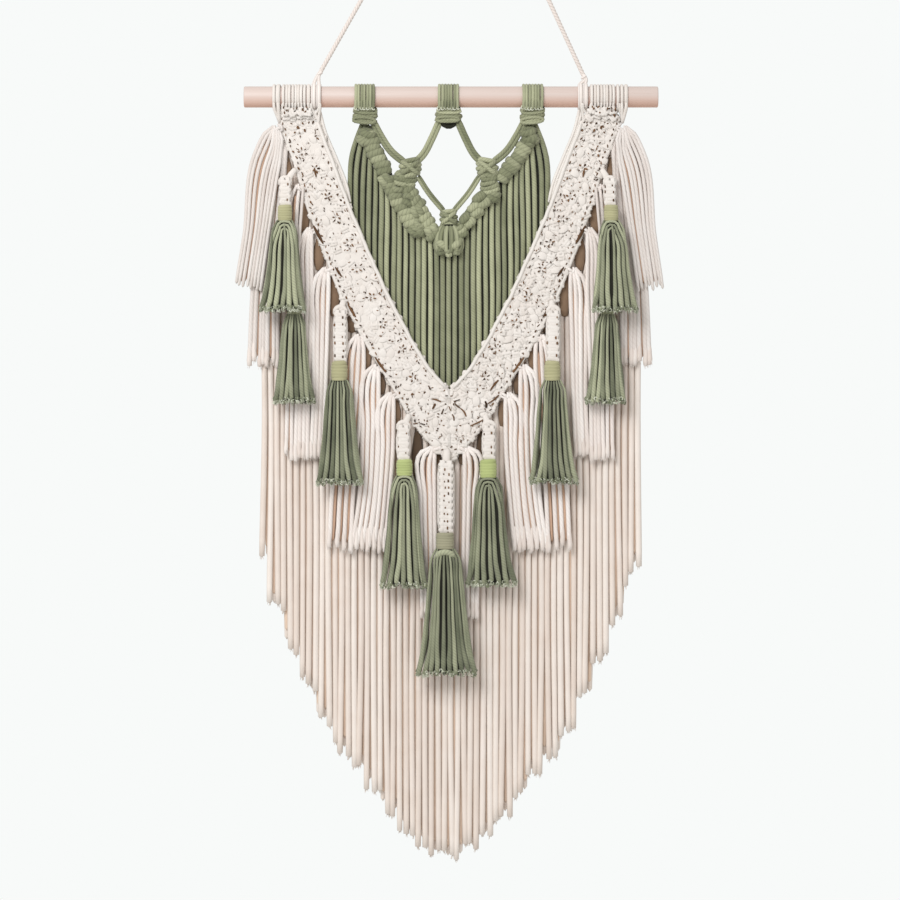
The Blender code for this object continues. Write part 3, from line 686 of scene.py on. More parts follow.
# The slits round the star, each from one end to the other: across, drop, across, drop, width
CENTRE_SLITS = (
    (2.7, 303.6, 9.0, 311.0, 1.7), (9.0, 311.0, 15.3, 319.9, 1.9), (-19.7, 301.8, -9.7, 304.9, 1.7),
    (-18.5, 312.5, -15.5, 306.5, 2.8), (-7.2, 311.8, -9.7, 317.4, 1.8), (-2.5, 309.0, -0.3, 314.0, 1.7),
    (1.0, 317.0, 3.0, 324.0, 1.7), (3.5, 304.0, 9.0, 302.5, 1.4), (-6.0, 299.0, -3.0, 298.6, 1.4),
    (-1.0, 299.4, 2.0, 299.2, 1.4), (19.0, 329.0, 32.0, 323.0, 1.7), (34.0, 304.0, 35.0, 311.0, 2.8),
    (36.5, 307.0, 48.0, 298.0, 1.9), (39.0, 294.0, 47.5, 283.0, 2.3), (-38.0, 327.0, -33.0, 326.0, 1.5),
    (-31.0, 326.5, -25.5, 328.0, 1.5), (-27.5, 296.5, -25.5, 294.5, 2.2), (-40.0, 298.0, -37.5, 296.5, 2.8),
    (-22.0, 290.5, -20.5, 293.0, 2.2), (-14.0, 332.0, -12.5, 331.0, 2.0), (-10.0, 353.0, -7.5, 352.5, 1.6),
    (-5.5, 353.5, -3.0, 353.0, 1.6), (-0.5, 351.0, 1.5, 349.0, 1.6), (3.0, 352.5, 6.0, 352.0, 1.6))
SCATTERED = 200  # small holes between knots, on each arm
HOLE_GIRTH = ((0, 0.3), (0.5, 1), (1, 0.3))
SLIT_GIRTH = ((0, 0.5), (0.3, 0.8), (0.8, 1), (1, 0.5))


def edge_holes(side, drops, inset, off, wide, long):
    """A dotted row of holes along one edge of the band."""
    return [Hole(edge(side, drop) + inset + stray(off), drop, draw.uniform(*wide), draw.uniform(*long),
                 slope(side, drop) + stray(0.7)) for drop in drops]


def band_holes():
    """Every hole of one arm: slits, dotted rows along both edges, rings in the rosettes and some between."""
    holes = [*SLITS, *FLOWER]
    holes += edge_holes("outer", np.arange(16, 338, 5.6), -4.0, 1.2, (1.1, 1.9), (2.2, 4.2))
    holes += edge_holes("inner", np.arange(18, 280, 8.0), 5.5, 2.0, (1.0, 1.8), (2.0, 3.8))
    for each in ROSETTES[1:]:
        for angle in circle(each.petals - 1, draw.uniform(0, 1)):
            reach = each.reach * draw.uniform(0.5, 1.1)
            holes.append(Hole(each.out + reach * math.sin(angle), each.drop + reach * math.cos(angle),
                              draw.uniform(1.2, 2.2), draw.uniform(2.0, 3.8), -angle + stray(0.4)))
    for _ in range(SCATTERED):
        drop = draw.uniform(16, 345)
        holes.append(Hole(draw.uniform(edge("inner", drop) + 3, edge("outer", drop) - 3), drop,
                          draw.uniform(0.8, 1.4), draw.uniform(1.2, 3.0), stray(1.5)))
    return holes


def hole_cord(hole, sign, depth):
    """Painted shadow: a dark lens that stands for the shade seen through one hole."""
    way = mm(-sign * math.sin(hole.lean), 0.0, -math.cos(hole.lean))
    spot = at(MID + sign * hole.out, hole.drop, depth)
    line = [spot + way * hole.long * share for share in (-0.5, 0.0, 0.5)]
    return cord(line, hole.wide, step=hole.long / 4, sides=6, flat=0.5, tone=draw.uniform(0.0, 0.9),
                girth=HOLE_GIRTH)


# %% [markdown]
# The rows of knots run level across each arm, and every other row is shifted by a fifth of a knot. Hand
# work is never even, so each knot is a little off its place and leans its own way, and one knot in three is
# a bare pad. Where the cords come off the rod, two more rows stand further out and hide the feet of the
# wraps.

# %% Rows of knots
KNOT_WIDE = 9.6
KNOT_HIGH = 8.2
ROW_PITCH = 6.9
ROW_SHIFT = 1.8
FIRST_ROW, LAST_ROW = 15.0, 364
TOP_ROWS = ((14.6, -9.8), (19.5, -7.0))  # drop and depth
TOP_ROW_KNOTS = 4
EDGE_CORDS = (("inner", 0.8, -6.0), ("outer", -1.2, -4.0))  # the edge, how far off it, and the depth
INNER_STRANDS = ((130, 12), (125.5, 31), (113, 62), (103, 88), (99, 106))


def knot_rows(sign, depth, lift, pads=0.3, sides=5):
    """Rows of square knots over one arm. A negative lift lays them on the back, without rosettes."""
    cords = []
    drop, row = FIRST_ROW, 0
    while drop < LAST_ROW:
        inner, outer = edge("inner", drop), edge("outer", drop)
        count = max(1, round((outer - inner) / (KNOT_WIDE - 0.9)))
        for k in range(count):
            out = inner + (outer - inner) * (k + 0.5) / count + (row % 2 - 0.5) * ROW_SHIFT
            if lift > 0 and any(math.hypot(out - each.out, drop - each.drop) < each.reach + 1.0
                                for each in (*ROSETTES, STAR)):
                continue
            lean = slope("outer" if k > count / 2 else "inner", drop)
            spot = at(MID + sign * (out + stray(0.9)), drop + stray(0.9), depth + draw.uniform(-0.3, 0.2))
            if draw.random() < pads:
                cords.append(smooth_pad(spot, lift))
                continue
            cords += square_knot(spot, KNOT_WIDE, KNOT_HIGH, lift, sign * (lean + draw.gauss(0, 0.7)),
                                 tones=(0.6, 0.9), sides=sides, flat=0.26, full=1.5)
        drop += ROW_PITCH
        row += 1
    return cords


def top_rows(sign):
    cords = []
    for drop, depth in TOP_ROWS:
        inner, outer = edge("inner", drop) + 1.0, edge("outer", drop) - 1.0
        for k in range(TOP_ROW_KNOTS):
            out = inner + (outer - inner) * (k + 0.5) / TOP_ROW_KNOTS + stray(0.8)
            spot = at(MID + sign * out, drop + stray(1.6), depth + stray(0.6))
            cords += square_knot(spot, KNOT_WIDE, KNOT_HIGH, 0.6, draw.gauss(0, 1.0), tones=(0.7, 0.95),
                                 flat=0.35, full=1.3)
    return cords


def edge_cords(sign):
    """A raised cord along both edges of an arm, and two thin strands beside the inner one at the top."""
    cords = []
    for side, inset, depth in EDGE_CORDS:
        line = [at(MID + sign * (edge(side, drop) + inset + stray(0.4)), drop, depth)
                for drop in np.linspace(26, 352, 60) if side == "outer" or edge("inner", drop) > 2]
        cords.append(cord(line, 4.0, sides=6, tone=0.9))
    for aside in (0.0, 2.8):
        line = [at(MID + sign * (out + aside), drop, BAND_DEPTH + 0.8) for out, drop in INNER_STRANDS]
        cords.append(cord(line, 3.2, step=5.0, sides=6, tone=0.95))
    return cords


def make_knots(sign):
    cords = knot_rows(sign, MAT_DEPTH, 0.45) + top_rows(sign)
    for row in ROSETTES:
        cords += rosette(at(MID + sign * row.out, row.drop, MAT_DEPTH + 0.3), row)
    return cords + edge_cords(sign)


# %% [markdown]
# The knots of the back are plainer, with four sides to a cord, for few will see them. The holes and slits come
# last: dark lens shapes of painted shadow laid on the knots, where the shade inside a hole is seen.

# %% Knots and holes of the band
BACK_KNOTS_DEPTH = MAT_DEPTH + 3.0
HOLES_DEPTH = MAT_DEPTH - 1.35
SLITS_DEPTH = MAT_DEPTH - 1.4
TOP_HOLES = 14  # between the two rows nearest the rod, which lean back as they go down
TOP_HOLES_FROM, TOP_HOLES_TO = 11, 20
TOP_HOLES_DEPTH, TOP_HOLES_LEAN = -13.6, 0.55

knots = make_knots(-1) + make_knots(1) + rosette(at(MID, STAR.drop, MAT_DEPTH), STAR, start=0.26)
piece("band_knots", knots, CREAM, "cream_band")
back_knots = [each for sign in (-1, 1) for each in knot_rows(sign, BACK_KNOTS_DEPTH, -0.7, pads=0.0, sides=4)]
piece("band_knots_behind", back_knots, CREAM, "cream_band")

# Painted shadow: every hole and slit is a dark cord laid in front of the knots.
holes = [hole_cord(hole, sign, HOLES_DEPTH) for sign in (-1, 1) for hole in band_holes()]
for across, drop, far_across, far_drop, wide in CENTRE_SLITS:
    one, other = at(across, drop, SLITS_DEPTH), at(far_across, far_drop, SLITS_DEPTH)
    bend = mm(stray(0.9), 0, stray(0.9))
    holes.append(cord([one, (one + other) / 2 + bend, other], wide, step=2.0, sides=6, flat=0.5,
                      tone=draw.uniform(0.0, 0.7), girth=SLIT_GIRTH))
for sign in (-1, 1):
    for _ in range(TOP_HOLES):
        hole = Hole(draw.uniform(141, 168), draw.uniform(TOP_HOLES_FROM, TOP_HOLES_TO),
                    draw.uniform(1.2, 1.9), draw.uniform(1.8, 3.2), stray(1.2))
        depth = TOP_HOLES_DEPTH + (hole.drop - TOP_HOLES_FROM) * TOP_HOLES_LEAN
        holes.append(hole_cord(hole, sign, depth))
piece("band_holes", holes, HOLE_PAINTED_SHADOW, "cream_band")

# %% [markdown]
# The inside of the band is one sheet that closes it. It starts as a flat grid, laid on each arm between the
# two edges, and gets its thickness from solidify. The two arms overlap a little below the V's middle.

# %% The inside of the band
GROUND_TOP, GROUND_LOW = 13, 362
GROUND_THICK = 3.4
EDGE_INSET = 1.5


def make_ground():
    shape = bmesh.new()
    tone = shape.verts.layers.float.new("tone")
    for sign in (-1, 1):
        verts = bmesh.ops.create_grid(shape, x_segments=6, y_segments=80, size=1)["verts"]
        for vert in verts:
            share, step = (vert.co.x + 1) / 2, (vert.co.y + 1) / 2
            drop = GROUND_TOP + step * (GROUND_LOW - GROUND_TOP)
            inner, outer = edge("inner", drop), edge("outer", drop) - EDGE_INSET
            inner += EDGE_INSET if inner > 3 else -EDGE_INSET
            vert.co = at(MID + sign * (inner + share * (outer - inner)), drop, MAT_DEPTH - 0.3 + 0.2 * sign)
    bmesh.ops.recalc_face_normals(shape, faces=shape.faces)
    bmesh.ops.solidify(shape, geom=shape.faces[:], thickness=GROUND_THICK * MM)
    for vert in shape.verts:
        vert[tone] = 0.8
    settle("band_ground", shape, CREAM, "cream_band")


make_ground()

# %% [markdown]
# ## Green panel
# Three groups of sage cord are wound on the rod and gathered by a knot each. From there double cords cross
# in an open net, and thick bars of knots run down to a berry knot in the middle. Straight cords hang from
# the bars. A gathering knot is a few turns of cord round the rest, with flat loops or two crossing cords in
# front.

# %% Gathering knots
NET_DEPTH = -1.0
GREEN_LAY = 9.0
CROSSING = ((-0.40, 0.30, 0.34), (-0.14, 0.54, 0.14), (0.14, 0.54, -0.14), (0.40, 0.30, -0.36))


def net(out, drop, depth=0.0, sign=1):
    return at(NET_MID + sign * out, drop, depth)


def gather_coils(spot, wide, high, thick, tilt, coils):
    """The turns round the gathered cords, a stack of rings."""
    size = high / coils
    cords = []
    for k in range(coils):
        reach = wide / 2 * (1.0 if 0 < k < coils - 1 else 0.9) - size / 2
        line = ring(spot + mm(0, 0, high / 2 - size * (k + 0.5)), reach, thick / 2 - size / 2,
                    tilt + stray(1.4), stray(0.8))
        cords.append(cord(line, size * 1.15, step=2.4, sides=7, closed=True, lay=GREEN_LAY,
                          tone=draw.uniform(0.3, 0.8)))
    return cords


def gather(spot, wide, high, thick, tilt=0.0, coils=3, loops=0):
    """A gathering knot: the cords in it, the turns round them, and what lies in front."""
    core = [spot + mm(0, 0, high * v) for v in (0.45, 0.1, -0.1, -0.45)]
    cords = [cord(core, wide * 0.8, flat=0.6 * thick / wide / 0.8, tone=0.1)]
    cords += gather_coils(spot, wide, high, thick, tilt, coils)
    for k in range(loops):
        middle = spot + mm(stray(1.5), -thick * 0.42, high * (0.30 - 0.6 * k / max(1, loops - 1)))
        loop = [middle + mm(wide * 0.42 * math.sin(a), -1.4 * math.cos(a)**2 + 1.5 * abs(math.sin(a)),
                            high * 0.17 * math.cos(a) + tilt * math.sin(a)) for a in circle(14)]
        cords.append(cord(loop, 3.2, step=2.0, sides=7, closed=True, lay=GREEN_LAY,
                          tone=draw.uniform(0.4, 0.9)))
    for side in (-1, 1) if not loops else ():
        line = [spot + mm(side * wide * u, -thick * w, high * v) for u, w, v in CROSSING]
        cords.append(cord(line, high / coils * 0.95, step=2.4, sides=7, lay=GREEN_LAY,
                          tone=draw.uniform(0.3, 0.8)))
    return cords


# %% [markdown]
# Each group of wraps is seven flat turns. A row of tiny pale loops, the picots, stands out just under the
# rod, over dark specks of painted shade where one sees in between the cords.

# %% Green wraps
GREEN_WRAPS = ((-96.5, -76.2), (-13.0, 8.0), (71.0, 92.0))
GREEN_TURNS = 7
GREEN_WRAP_THICK = 2.6
PICOT_DROP = 11.6


def green_wrap(left, right, middle):
    """One flat turn, with the two cords that run down from it into the gathering knot."""
    tone = draw.uniform(0.35, 1.0)
    cords = wrap_cords([(left, right)], GREEN_WRAP_THICK, tones=(tone, tone))
    across = (left + right) / 2
    foot = middle + (across - middle) * 0.85
    for depth in (-1, 1):
        line = [at(across, 1, depth * 11.9), at(across, 6, depth * 10.9 - 0.4),
                at(across, 10.5, depth * 8.6 - 1), at(foot, 16, depth * 3 - 1)]
        cords.append(cord(line, 3.0, step=2.5, sides=6, flat=0.85, tone=tone - 0.1))
    return cords


def make_green_tops():
    cords, picots, specks = [], [], []
    for left, right in GREEN_WRAPS:
        edges = np.linspace(left, right, GREEN_TURNS + 1)
        for pair in zip(edges, edges[1:]):
            cords += green_wrap(*pair, (left + right) / 2)
        for across in np.linspace(left + 1.0, right - 1.0, GREEN_TURNS):
            spot = at(across + stray(0.5), PICOT_DROP + stray(0.7), -9.0)
            loop = [spot + mm(1.5 * math.sin(a), 0.4 * math.sin(a), 1.9 * math.cos(a)) for a in circle(8)]
            picots.append(cord(loop, 1.2, step=1.2, sides=5, closed=True, tone=draw.uniform(0.5, 1.0)))
            # Painted shade: dark specks behind each picot.
            for aside in (0.0, 1.6):
                speck = [spot + mm(aside, 0.3, up) for up in (1.6, 0, -1.6)]
                specks.append(cord(speck, 1.5, step=0.8, sides=5))

    for sign in (-1, 1):
        cords += gather(net(83.5, 19.0, NET_DEPTH, sign), 27, 16, 13, tilt=sign * 0.8, loops=2)
        cords += gather(net(38.5, 71, NET_DEPTH, sign), 23, 19, 13, tilt=-sign * 2.2, coils=4)
    cords += gather(net(0, 18.5, NET_DEPTH), 28, 14, 13, loops=2)
    cords += gather(net(0, 121, NET_DEPTH), 19, 17, 11, coils=4)
    piece("green_gathers", cords, SAGE, "green_panel")
    piece("green_picots", picots, FRAYED, "green_panel")
    piece("green_picot_shade", specks, SAGE_PAINTED_SHADE, "green_panel")


make_green_tops()

# %% [markdown]
# The net's cords run in pairs from knot to knot, one of each pair a little in front. Those to the lowest
# knot are thinner.

# %% Net cords
NetRun = namedtuple("NetRun", "outs drops thick apart")
NET_RUNS = (NetRun((76, 68, 58, 44), (24, 39, 54, 66), 4.2, (-2.5, -2.5)),
            NetRun((9, 17, 25, 37), (24, 42, 57, 69), 4.2, (2.5, -2.5)),
            NetRun((31, 20, 5), (79, 96, 114), 3.3, (1.8, 1.8)))


def make_net():
    cords = []
    for sign in (-1, 1):
        for run in NET_RUNS:
            for k in (-0.5, 0.5):
                line = [net(out + k * run.apart[0], drop + k * run.apart[1], -1.8 - k, sign)
                        for out, drop in zip(run.outs, run.drops)]
                cords.append(cord(line, run.thick, step=2.5, lay=10.0, tone=draw.uniform(0.15, 0.7)))
    piece("green_net", cords, SAGE, "green_panel")


make_net()

# %% [markdown]
# A clove-hitch bar is a bundle of cords with one cord turned over them again and again, so it shows a row
# of slanting ridges. A closed ring round the bar's line makes one ridge. Over the ridges lie plump knots:
# fat lobes side by side, each a closed ring too. The two halves of the panel are knotted differently.

# %% Bars and berry
LEFT_BARS = (((82, 36), (78, 46), (72, 57), (67, 67), (64, 77)),
             ((63, 80), (58, 92), (51, 104), (43, 116), (36, 127), (28, 139)),
             ((46, 78), (41, 91), (36, 102), (27, 115), (21, 127), (14, 141)))
RIGHT_BAR = ((84, 38), (77, 48), (69.5, 60), (61.5, 71), (52, 84))
LOWER_BAR = ((45, 88), (33, 103), (23, 117), (13, 132), (7, 144))
Plump = namedtuple("Plump", "out drop wide high lean lobes bow")
LEFT_PLUMP = (Plump(82.0, 40.0, 20, 15, 0.4, 2, 2.0), Plump(43.5, 82.0, 26, 13, 0.15, 3, 2.0),
              Plump(63.0, 83.0, 17, 11, 0.9, 2, 1.0), Plump(52.0, 95.0, 16, 12, 0.2, 2, 1.5),
              Plump(41.0, 104.0, 15, 12, 0.3, 2, -1.5), Plump(31.0, 114.0, 16, 13, 1.2, 2, 1.0),
              Plump(32.0, 131.0, 17, 14, 0.6, 3, 2.0), Plump(17.0, 133.0, 14, 13, 1.1, 2, 1.0))
RIGHT_PLUMP = (Plump(80.0, 38.0, 19, 14, 0.3, 2, 2.0), Plump(40.0, 77.0, 22, 13, 0.15, 3, 2.0),
               Plump(41.0, 89.5, 21, 13, 0.3, 3, 1.6), Plump(45.0, 99.0, 16, 10, -0.4, 2, 1.0),
               Plump(33.0, 103.0, 19, 14, 0.7, 2, 1.5), Plump(27.0, 113.5, 18, 13, 0.5, 2, -1.0),
               Plump(18.5, 123.5, 16, 13, 0.9, 2, 1.5), Plump(11.5, 134.0, 16, 13, 0.6, 3, 1.5),
               Plump(8.0, 143.0, 13, 11, 0.9, 2, 1.0))
BAR_THICK = 8
NOOSE = ((-7, 22), (-5, 27), (0, 29), (5, 27), (7, 22))  # painted shade: a dark cord for the shaded inside of the middle gathering knot


def along(points, pitch):
    """Spots every pitch along a line of (out, drop), each with the way the line runs there."""
    points = np.array(points, float)
    marks = np.concatenate([[0.0], np.cumsum(np.linalg.norm(np.diff(points, axis=0), axis=1))])
    count = max(2, round(marks[-1] / pitch))
    for share in (np.arange(count) + 0.5) / count:
        spot = [float(np.interp(share * marks[-1], marks, points[:, k])) for k in (0, 1)]
        ahead = [float(np.interp(share * marks[-1] + 1, marks, points[:, k])) for k in (0, 1)]
        yield spot, math.atan2(ahead[0] - spot[0], ahead[1] - spot[1])


def hitch_bar(points, sign, wide, pitch, slant):
    """Ridges turned round a bar of cords."""
    cords = []
    for (out, drop), way in along(points, pitch):
        lean = way + slant + stray(0.12)
        side = np.array((sign * math.cos(lean), 0.0, math.sin(lean)))
        centre = net(out + stray(1), drop, NET_DEPTH, sign)
        reach = (wide + stray(2)) / 2 - 2
        front = np.array((0, -(BAR_THICK / 2 - 1), 0))
        line = [centre + (side * math.sin(a) * reach + front * math.cos(a)) * MM for a in circle(12)]
        cords.append(cord(line, pitch * 1.3, step=2.6, flat=0.7, lay=GREEN_LAY, closed=True,
                          tone=draw.uniform(0.2, 0.7)))
    return cords


def plump(spot, row, sign):
    """One plump knot on a bar: fat lobes side by side, bowed and turned round the cords behind."""
    side = np.array((sign * math.cos(row.lean), 0.0, math.sin(row.lean)))
    down = np.array((sign * math.sin(row.lean), 0.0, -math.cos(row.lean)))
    thick = row.high / row.lobes * 1.25
    cords = []
    for k in range(row.lobes):
        place = (k + 0.5) / row.lobes - 0.5
        reach = row.wide / 2 * (1 - 0.9 * place * place) - thick * 0.35
        bow = row.bow + stray(0.5)
        line = [spot + (side * math.sin(a) * reach + down * (place * row.high + bow * math.cos(a))
                        + np.array((0, -math.cos(a) * 2.0, 0))) * MM for a in circle(12)]
        cords.append(cord(line, thick, step=2.2, sides=7, flat=0.75, lay=8.0, closed=True,
                          tone=draw.uniform(0.15, 0.75)))
    return cords


def bar_core(points, sign, wide):
    """The bundle of cords that a bar is turned over, in a low tone: painted shade that darkens the lines
    between the ridges.
    """
    line = [net(out, drop, NET_DEPTH - 0.3, sign) for out, drop in points]
    return cord(line, wide, step=6, flat=0.4, tone=0.2)


def make_bars():
    cords = hitch_bar(RIGHT_BAR, 1, 16, 6.0, 0.1)
    for points, wide, slant in zip(LEFT_BARS, (18, 17, 17), (0.15, 0.4, -0.35)):
        cords += hitch_bar(points, -1, wide, 6.5, slant)
        cords.append(bar_core(points, -1, wide - 3))
    cords += [bar_core(points, 1, 14) for points in (RIGHT_BAR, LOWER_BAR)]
    # Painted shade: a dark ring under the middle gathering knot and a dark cord inside it.
    core = [cord(ring(net(0, 128.5, NET_DEPTH), 6.5, 4.5), 3.0, step=3, sides=6, closed=True),
            cord([net(out, drop, NET_DEPTH - 1) for out, drop in NOOSE], 6.5, step=3, flat=0.7)]
    piece("green_knot_painted_shade", core, SAGE_PAINTED_SHADE, "green_panel")
    for rows, sign in ((LEFT_PLUMP, -1), (RIGHT_PLUMP, 1)):
        for row in rows:
            cords += plump(net(row.out, row.drop, NET_DEPTH - 1.9 + stray(0.5), sign), row, sign)
    piece("green_bars", cords, SAGE, "green_panel")


# %% [markdown]
# The berry knot is a ball of cords that part at its top and meet again below, with two long lobes laid over
# it like a collar and three short double ones under them.

# %% Berry
BERRY_CORDS = 14
BERRY_LINE = ((5.5, 3, 17), (10.5, 5.5, 11.5), (13, 6.5, 2), (12.5, 6.0, -7), (7, 3, -13))  # wide, deep, high
BERRY_LOBES = (Plump(-6.5, -3.0, 14, 6, -0.6, 1, 0.0), Plump(6.5, -3.0, 14, 6, 0.6, 1, 0.0),
               Plump(-8.5, -9.725, 8, 6, 0.2, 2, 1.0), Plump(0.0, -11.0, 8, 7, 0.1, 2, 1.0),
               Plump(8.5, -9.725, 8, 6, -0.2, 2, 1.0))  # here a drop is a rise over the berry's middle


def make_berry():
    cords = []
    spot = net(0, 145, NET_DEPTH)
    for k in range(BERRY_CORDS):
        angle = 2 * math.pi * (k + 0.5) / BERRY_CORDS
        side, front = math.sin(angle), -math.cos(angle)
        line = [spot + mm(side * wide, front * deep, high) for wide, deep, high in BERRY_LINE]
        cords.append(cord(line, 4.8, step=3.0, tone=0.3 + 0.35 * (k % 2)))
    for row in BERRY_LOBES:
        cords += plump(spot + mm(row.out, -4.6, row.drop), row, 1)
    cords.append(cord([spot + mm(0, 0, high) for high in (13, 4, -4, -11)], 15, flat=0.6, tone=0.1))
    piece("green_berry", cords, SAGE, "green_panel")


make_bars()
make_berry()

# %% [markdown]
# The straight cords of the panel hang side by side, about six millimetres apart, with a narrow dark gap
# between two of them. The gap is dark because a second layer of the same cords hangs behind in painted
# shade, a darker colour that stands for the shade there. A third layer closes the back. The cords start on
# the bars and end behind the band, wherever its inner edge crosses them.

# %% Straight green cords
GREEN_COUNT = 33
GREEN_HALF = 99.0
GREEN_ACROSS = [-GREEN_HALF + 2 * GREEN_HALF * k / (GREEN_COUNT - 1) for k in range(GREEN_COUNT)]
GREEN_TUCK = 14.0
GREEN_DEPTH = 2.6
GREEN_TOPS = {"out": (0.0, 8.0, 21.0, 34.0, 46.0, 58.0, 70.0, 80.0, 101.0),
              "drop": (150.0, 148.0, 130.0, 106.0, 90.0, 74.0, 50.0, 28.0, 24.0)}
INNER = [row for row in BAND if 29 < row.drop < 300]


def green_foot(out):
    """Where the band's inner edge crosses a cord that hangs this far out."""
    return float(np.interp(-out, [-row.inner for row in INNER], [row.drop for row in INNER]))


def green_line(across, depth):
    out = abs(across)
    pulled = across * float(np.interp(out, (70.0, 101.0), (1.0, 0.86)))
    top = float(np.interp(out, GREEN_TOPS["out"], GREEN_TOPS["drop"]))
    foot = green_foot(out) + GREEN_TUCK
    drift = stray(0.5)
    return [at(NET_MID + pulled, top, depth - 1),
            at(NET_MID + across * 0.985 + drift, top * 0.65 + foot * 0.35, depth),
            at(NET_MID + across + drift, top * 0.3 + foot * 0.7, depth), at(NET_MID + across, foot, depth)]


front_cords, back_cords = [], []
for k, across in enumerate(GREEN_ACROSS):
    front_cords.append(cord(green_line(across, GREEN_DEPTH), 4.9 + draw.uniform(-0.3, 0.2), step=7.0, lay=8.5,
                            tone=draw.uniform(0.3, 0.85)))
    if k:
        across -= GREEN_HALF / (GREEN_COUNT - 1)
        # Painted shade: a darker copy of each cord hangs behind the gaps.
        back_cords.append(cord(green_line(across, GREEN_DEPTH + 3.2), 5.4, step=12.0, sides=6, tone=0.3))
piece("green_cords", front_cords, SAGE, "green_panel")
piece("green_cords_behind", back_cords, SAGE_PAINTED_SHADE, "green_panel")
rear_cords = [cord(green_line(across, GREEN_DEPTH + 6.6), 5.4, step=9.0, sides=7, lay=8.5, flat=0.8,
                   tone=draw.uniform(0.3, 0.7)) for across in GREEN_ACROSS]
piece("green_cords_rear", rear_cords, SAGE, "green_panel")

# %% [markdown]
# ## Back fringe
# Fifty-nine long cords hang behind everything and are cut to a point. They are smooth cotton, and no two
# hang quite alike: each drifts a little and ends a few millimetres off the cut line, which itself goes in
# small steps, because a maker cuts a few cords at a time. Two more layers close the gaps behind, the first
# of them in painted shade.

# %% Back fringe
BACK_COUNT = 59
BACK_HALF = 187.0
BACK_CORD = 5.9
BACK_LAY = 14.0
BACK_DEPTH = 4.6
CUT_TOGETHER = 5
HEM = {"out": (0.0, 28.0, 52.0, 68.0, 90.0, 118.0, 131.0, 155.0, 176.0, 190.0),
       "drop": (763.0, 748.0, 727.0, 702.0, 674.0, 641.0, 611.0, 555.0, 499.0, 455.0)}
STRIP = ((189.0, 52.0), (180.0, 40.0), (168.0, 36.0), (151.5, 62.0), (138.0, 108.0), (122.5, 152.0),
         (103.5, 200.0), (82.5, 240.0), (63.5, 272.0), (49.5, 294.0), (32.0, 325.0), (12.0, 345.0))


def fringe_bottom(across, k):
    """How far down a cord is cut: partly by its own place and partly by that of the cords cut with it."""
    group = BACK_HALF * (round((k + 1) / CUT_TOGETHER) * CUT_TOGETHER / (BACK_COUNT - 1) - 1)
    return float(np.interp(abs(across * 0.35 + group * 0.65), HEM["out"], HEM["drop"])) + draw.uniform(-6, 4)


def front_fringe_cord(across, top, bottom, sway, depth):
    """One cord of the front layer, with a blunt end and its loose fibres."""
    line = [at(across, top, depth), at(across + sway, top + 0.3 * (bottom - top), depth),
            at(across - sway * 0.5, top + 0.65 * (bottom - top), depth + stray(0.6)),
            at(across + sway + stray(1.2), bottom, depth - draw.uniform(0, 1.0))]
    made = cord(line, BACK_CORD + draw.uniform(-0.3, 0.4), step=8.0, lay=BACK_LAY,
                tone=draw.uniform(0.35, 0.85), girth=((0, 1), (0.975, 1), (1, draw.uniform(0.8, 1.15))),
                blunt=True)
    return [made, *wisps(line[-1] + mm(0, 0, 3.0), 7, 7.0, 2.2, thick=1.2)]


def make_back_fringe():
    cords, under, rear = [], [], []
    outs, drops = zip(*reversed(STRIP))
    for k in range(2 * BACK_COUNT - 1):
        across = -BACK_HALF + BACK_HALF * k / (BACK_COUNT - 1)
        top = float(np.interp(abs(across - MID), outs, drops))
        bottom = fringe_bottom(across, k)
        sway = stray(1.3)
        depth = BACK_DEPTH + stray(0.5)
        if k % 2 == 0:
            cords += front_fringe_cord(across, top, bottom, sway, depth)
            continue
        # Painted shade: the layer behind is darker and warmer.
        line = [at(across, top, depth + 3.4), at(across, bottom - 12, depth + 3.2)]
        under.append(cord(line, 5.6, step=14.0, sides=6, flat=0.7, tone=draw.uniform(0.2, 0.6)))
        line = [at(across, top, BACK_DEPTH + 5.9),
                at(across + stray(1), top * 0.5 + bottom * 0.5, BACK_DEPTH + 5.6),
                at(across + stray(1), bottom - 4, BACK_DEPTH + 4.6)]
        rear.append(cord(line, 6.2, step=11.0, sides=7, lay=BACK_LAY, flat=0.75, tone=draw.uniform(0.3, 0.8)))
    strip = [at(MID - out, drop, BACK_DEPTH + 0.4) for out, drop in STRIP]
    strip += [at(MID + out, drop, BACK_DEPTH + 0.4) for out, drop in reversed(STRIP)]
    cords.append(cord(strip, 8.0, step=5.0, flat=0.7, tone=0.5))
    piece("back_fringe_cords", cords, PALE, "back_fringe")
    piece("back_fringe_behind", under, PALE_PAINTED_SHADE, "back_fringe")
    piece("back_fringe_rear", rear, PALE, "back_fringe")


make_back_fringe()

# %% [markdown]
# Between the band's edge and some bundles one looks into shade. Flat leaf shapes of tan-brown painted shade
# stand for it.

# %% Gaps beside the bundles
Leaf = namedtuple("Leaf", "out top low wide lean tone")
LEAVES = (Leaf(163.0, 60.0, 86.0, 7.0, -1.0, 0.7), Leaf(145.5, 104.0, 137.0, 8.0, 0.0, 0.8),
          Leaf(130.5, 141.0, 174.0, 9.0, 0.0, 0.7), Leaf(116.0, 179.0, 220.0, 9.0, -1.0, 0.6),
          Leaf(97.5, 218.0, 236.0, 10.0, 0.0, 0.4), Leaf(83.0, 242.0, 273.0, 7.0, 0.0, 0.9),
          Leaf(70.5, 276.0, 298.0, 9.0, -2.0, 0.4), Leaf(53.5, 303.0, 330.0, 7.0, 0.0, 0.6),
          Leaf(32.0, 334.0, 384.0, 9.0, 0.0, -0.1), Leaf(13.0, 352.0, 368.0, 6.0, 0.0, 0.3))
LEAF_DEPTH = 1.4
LEAF_GIRTH = ((0, 0.5), (0.5, 1), (1, 0.6))


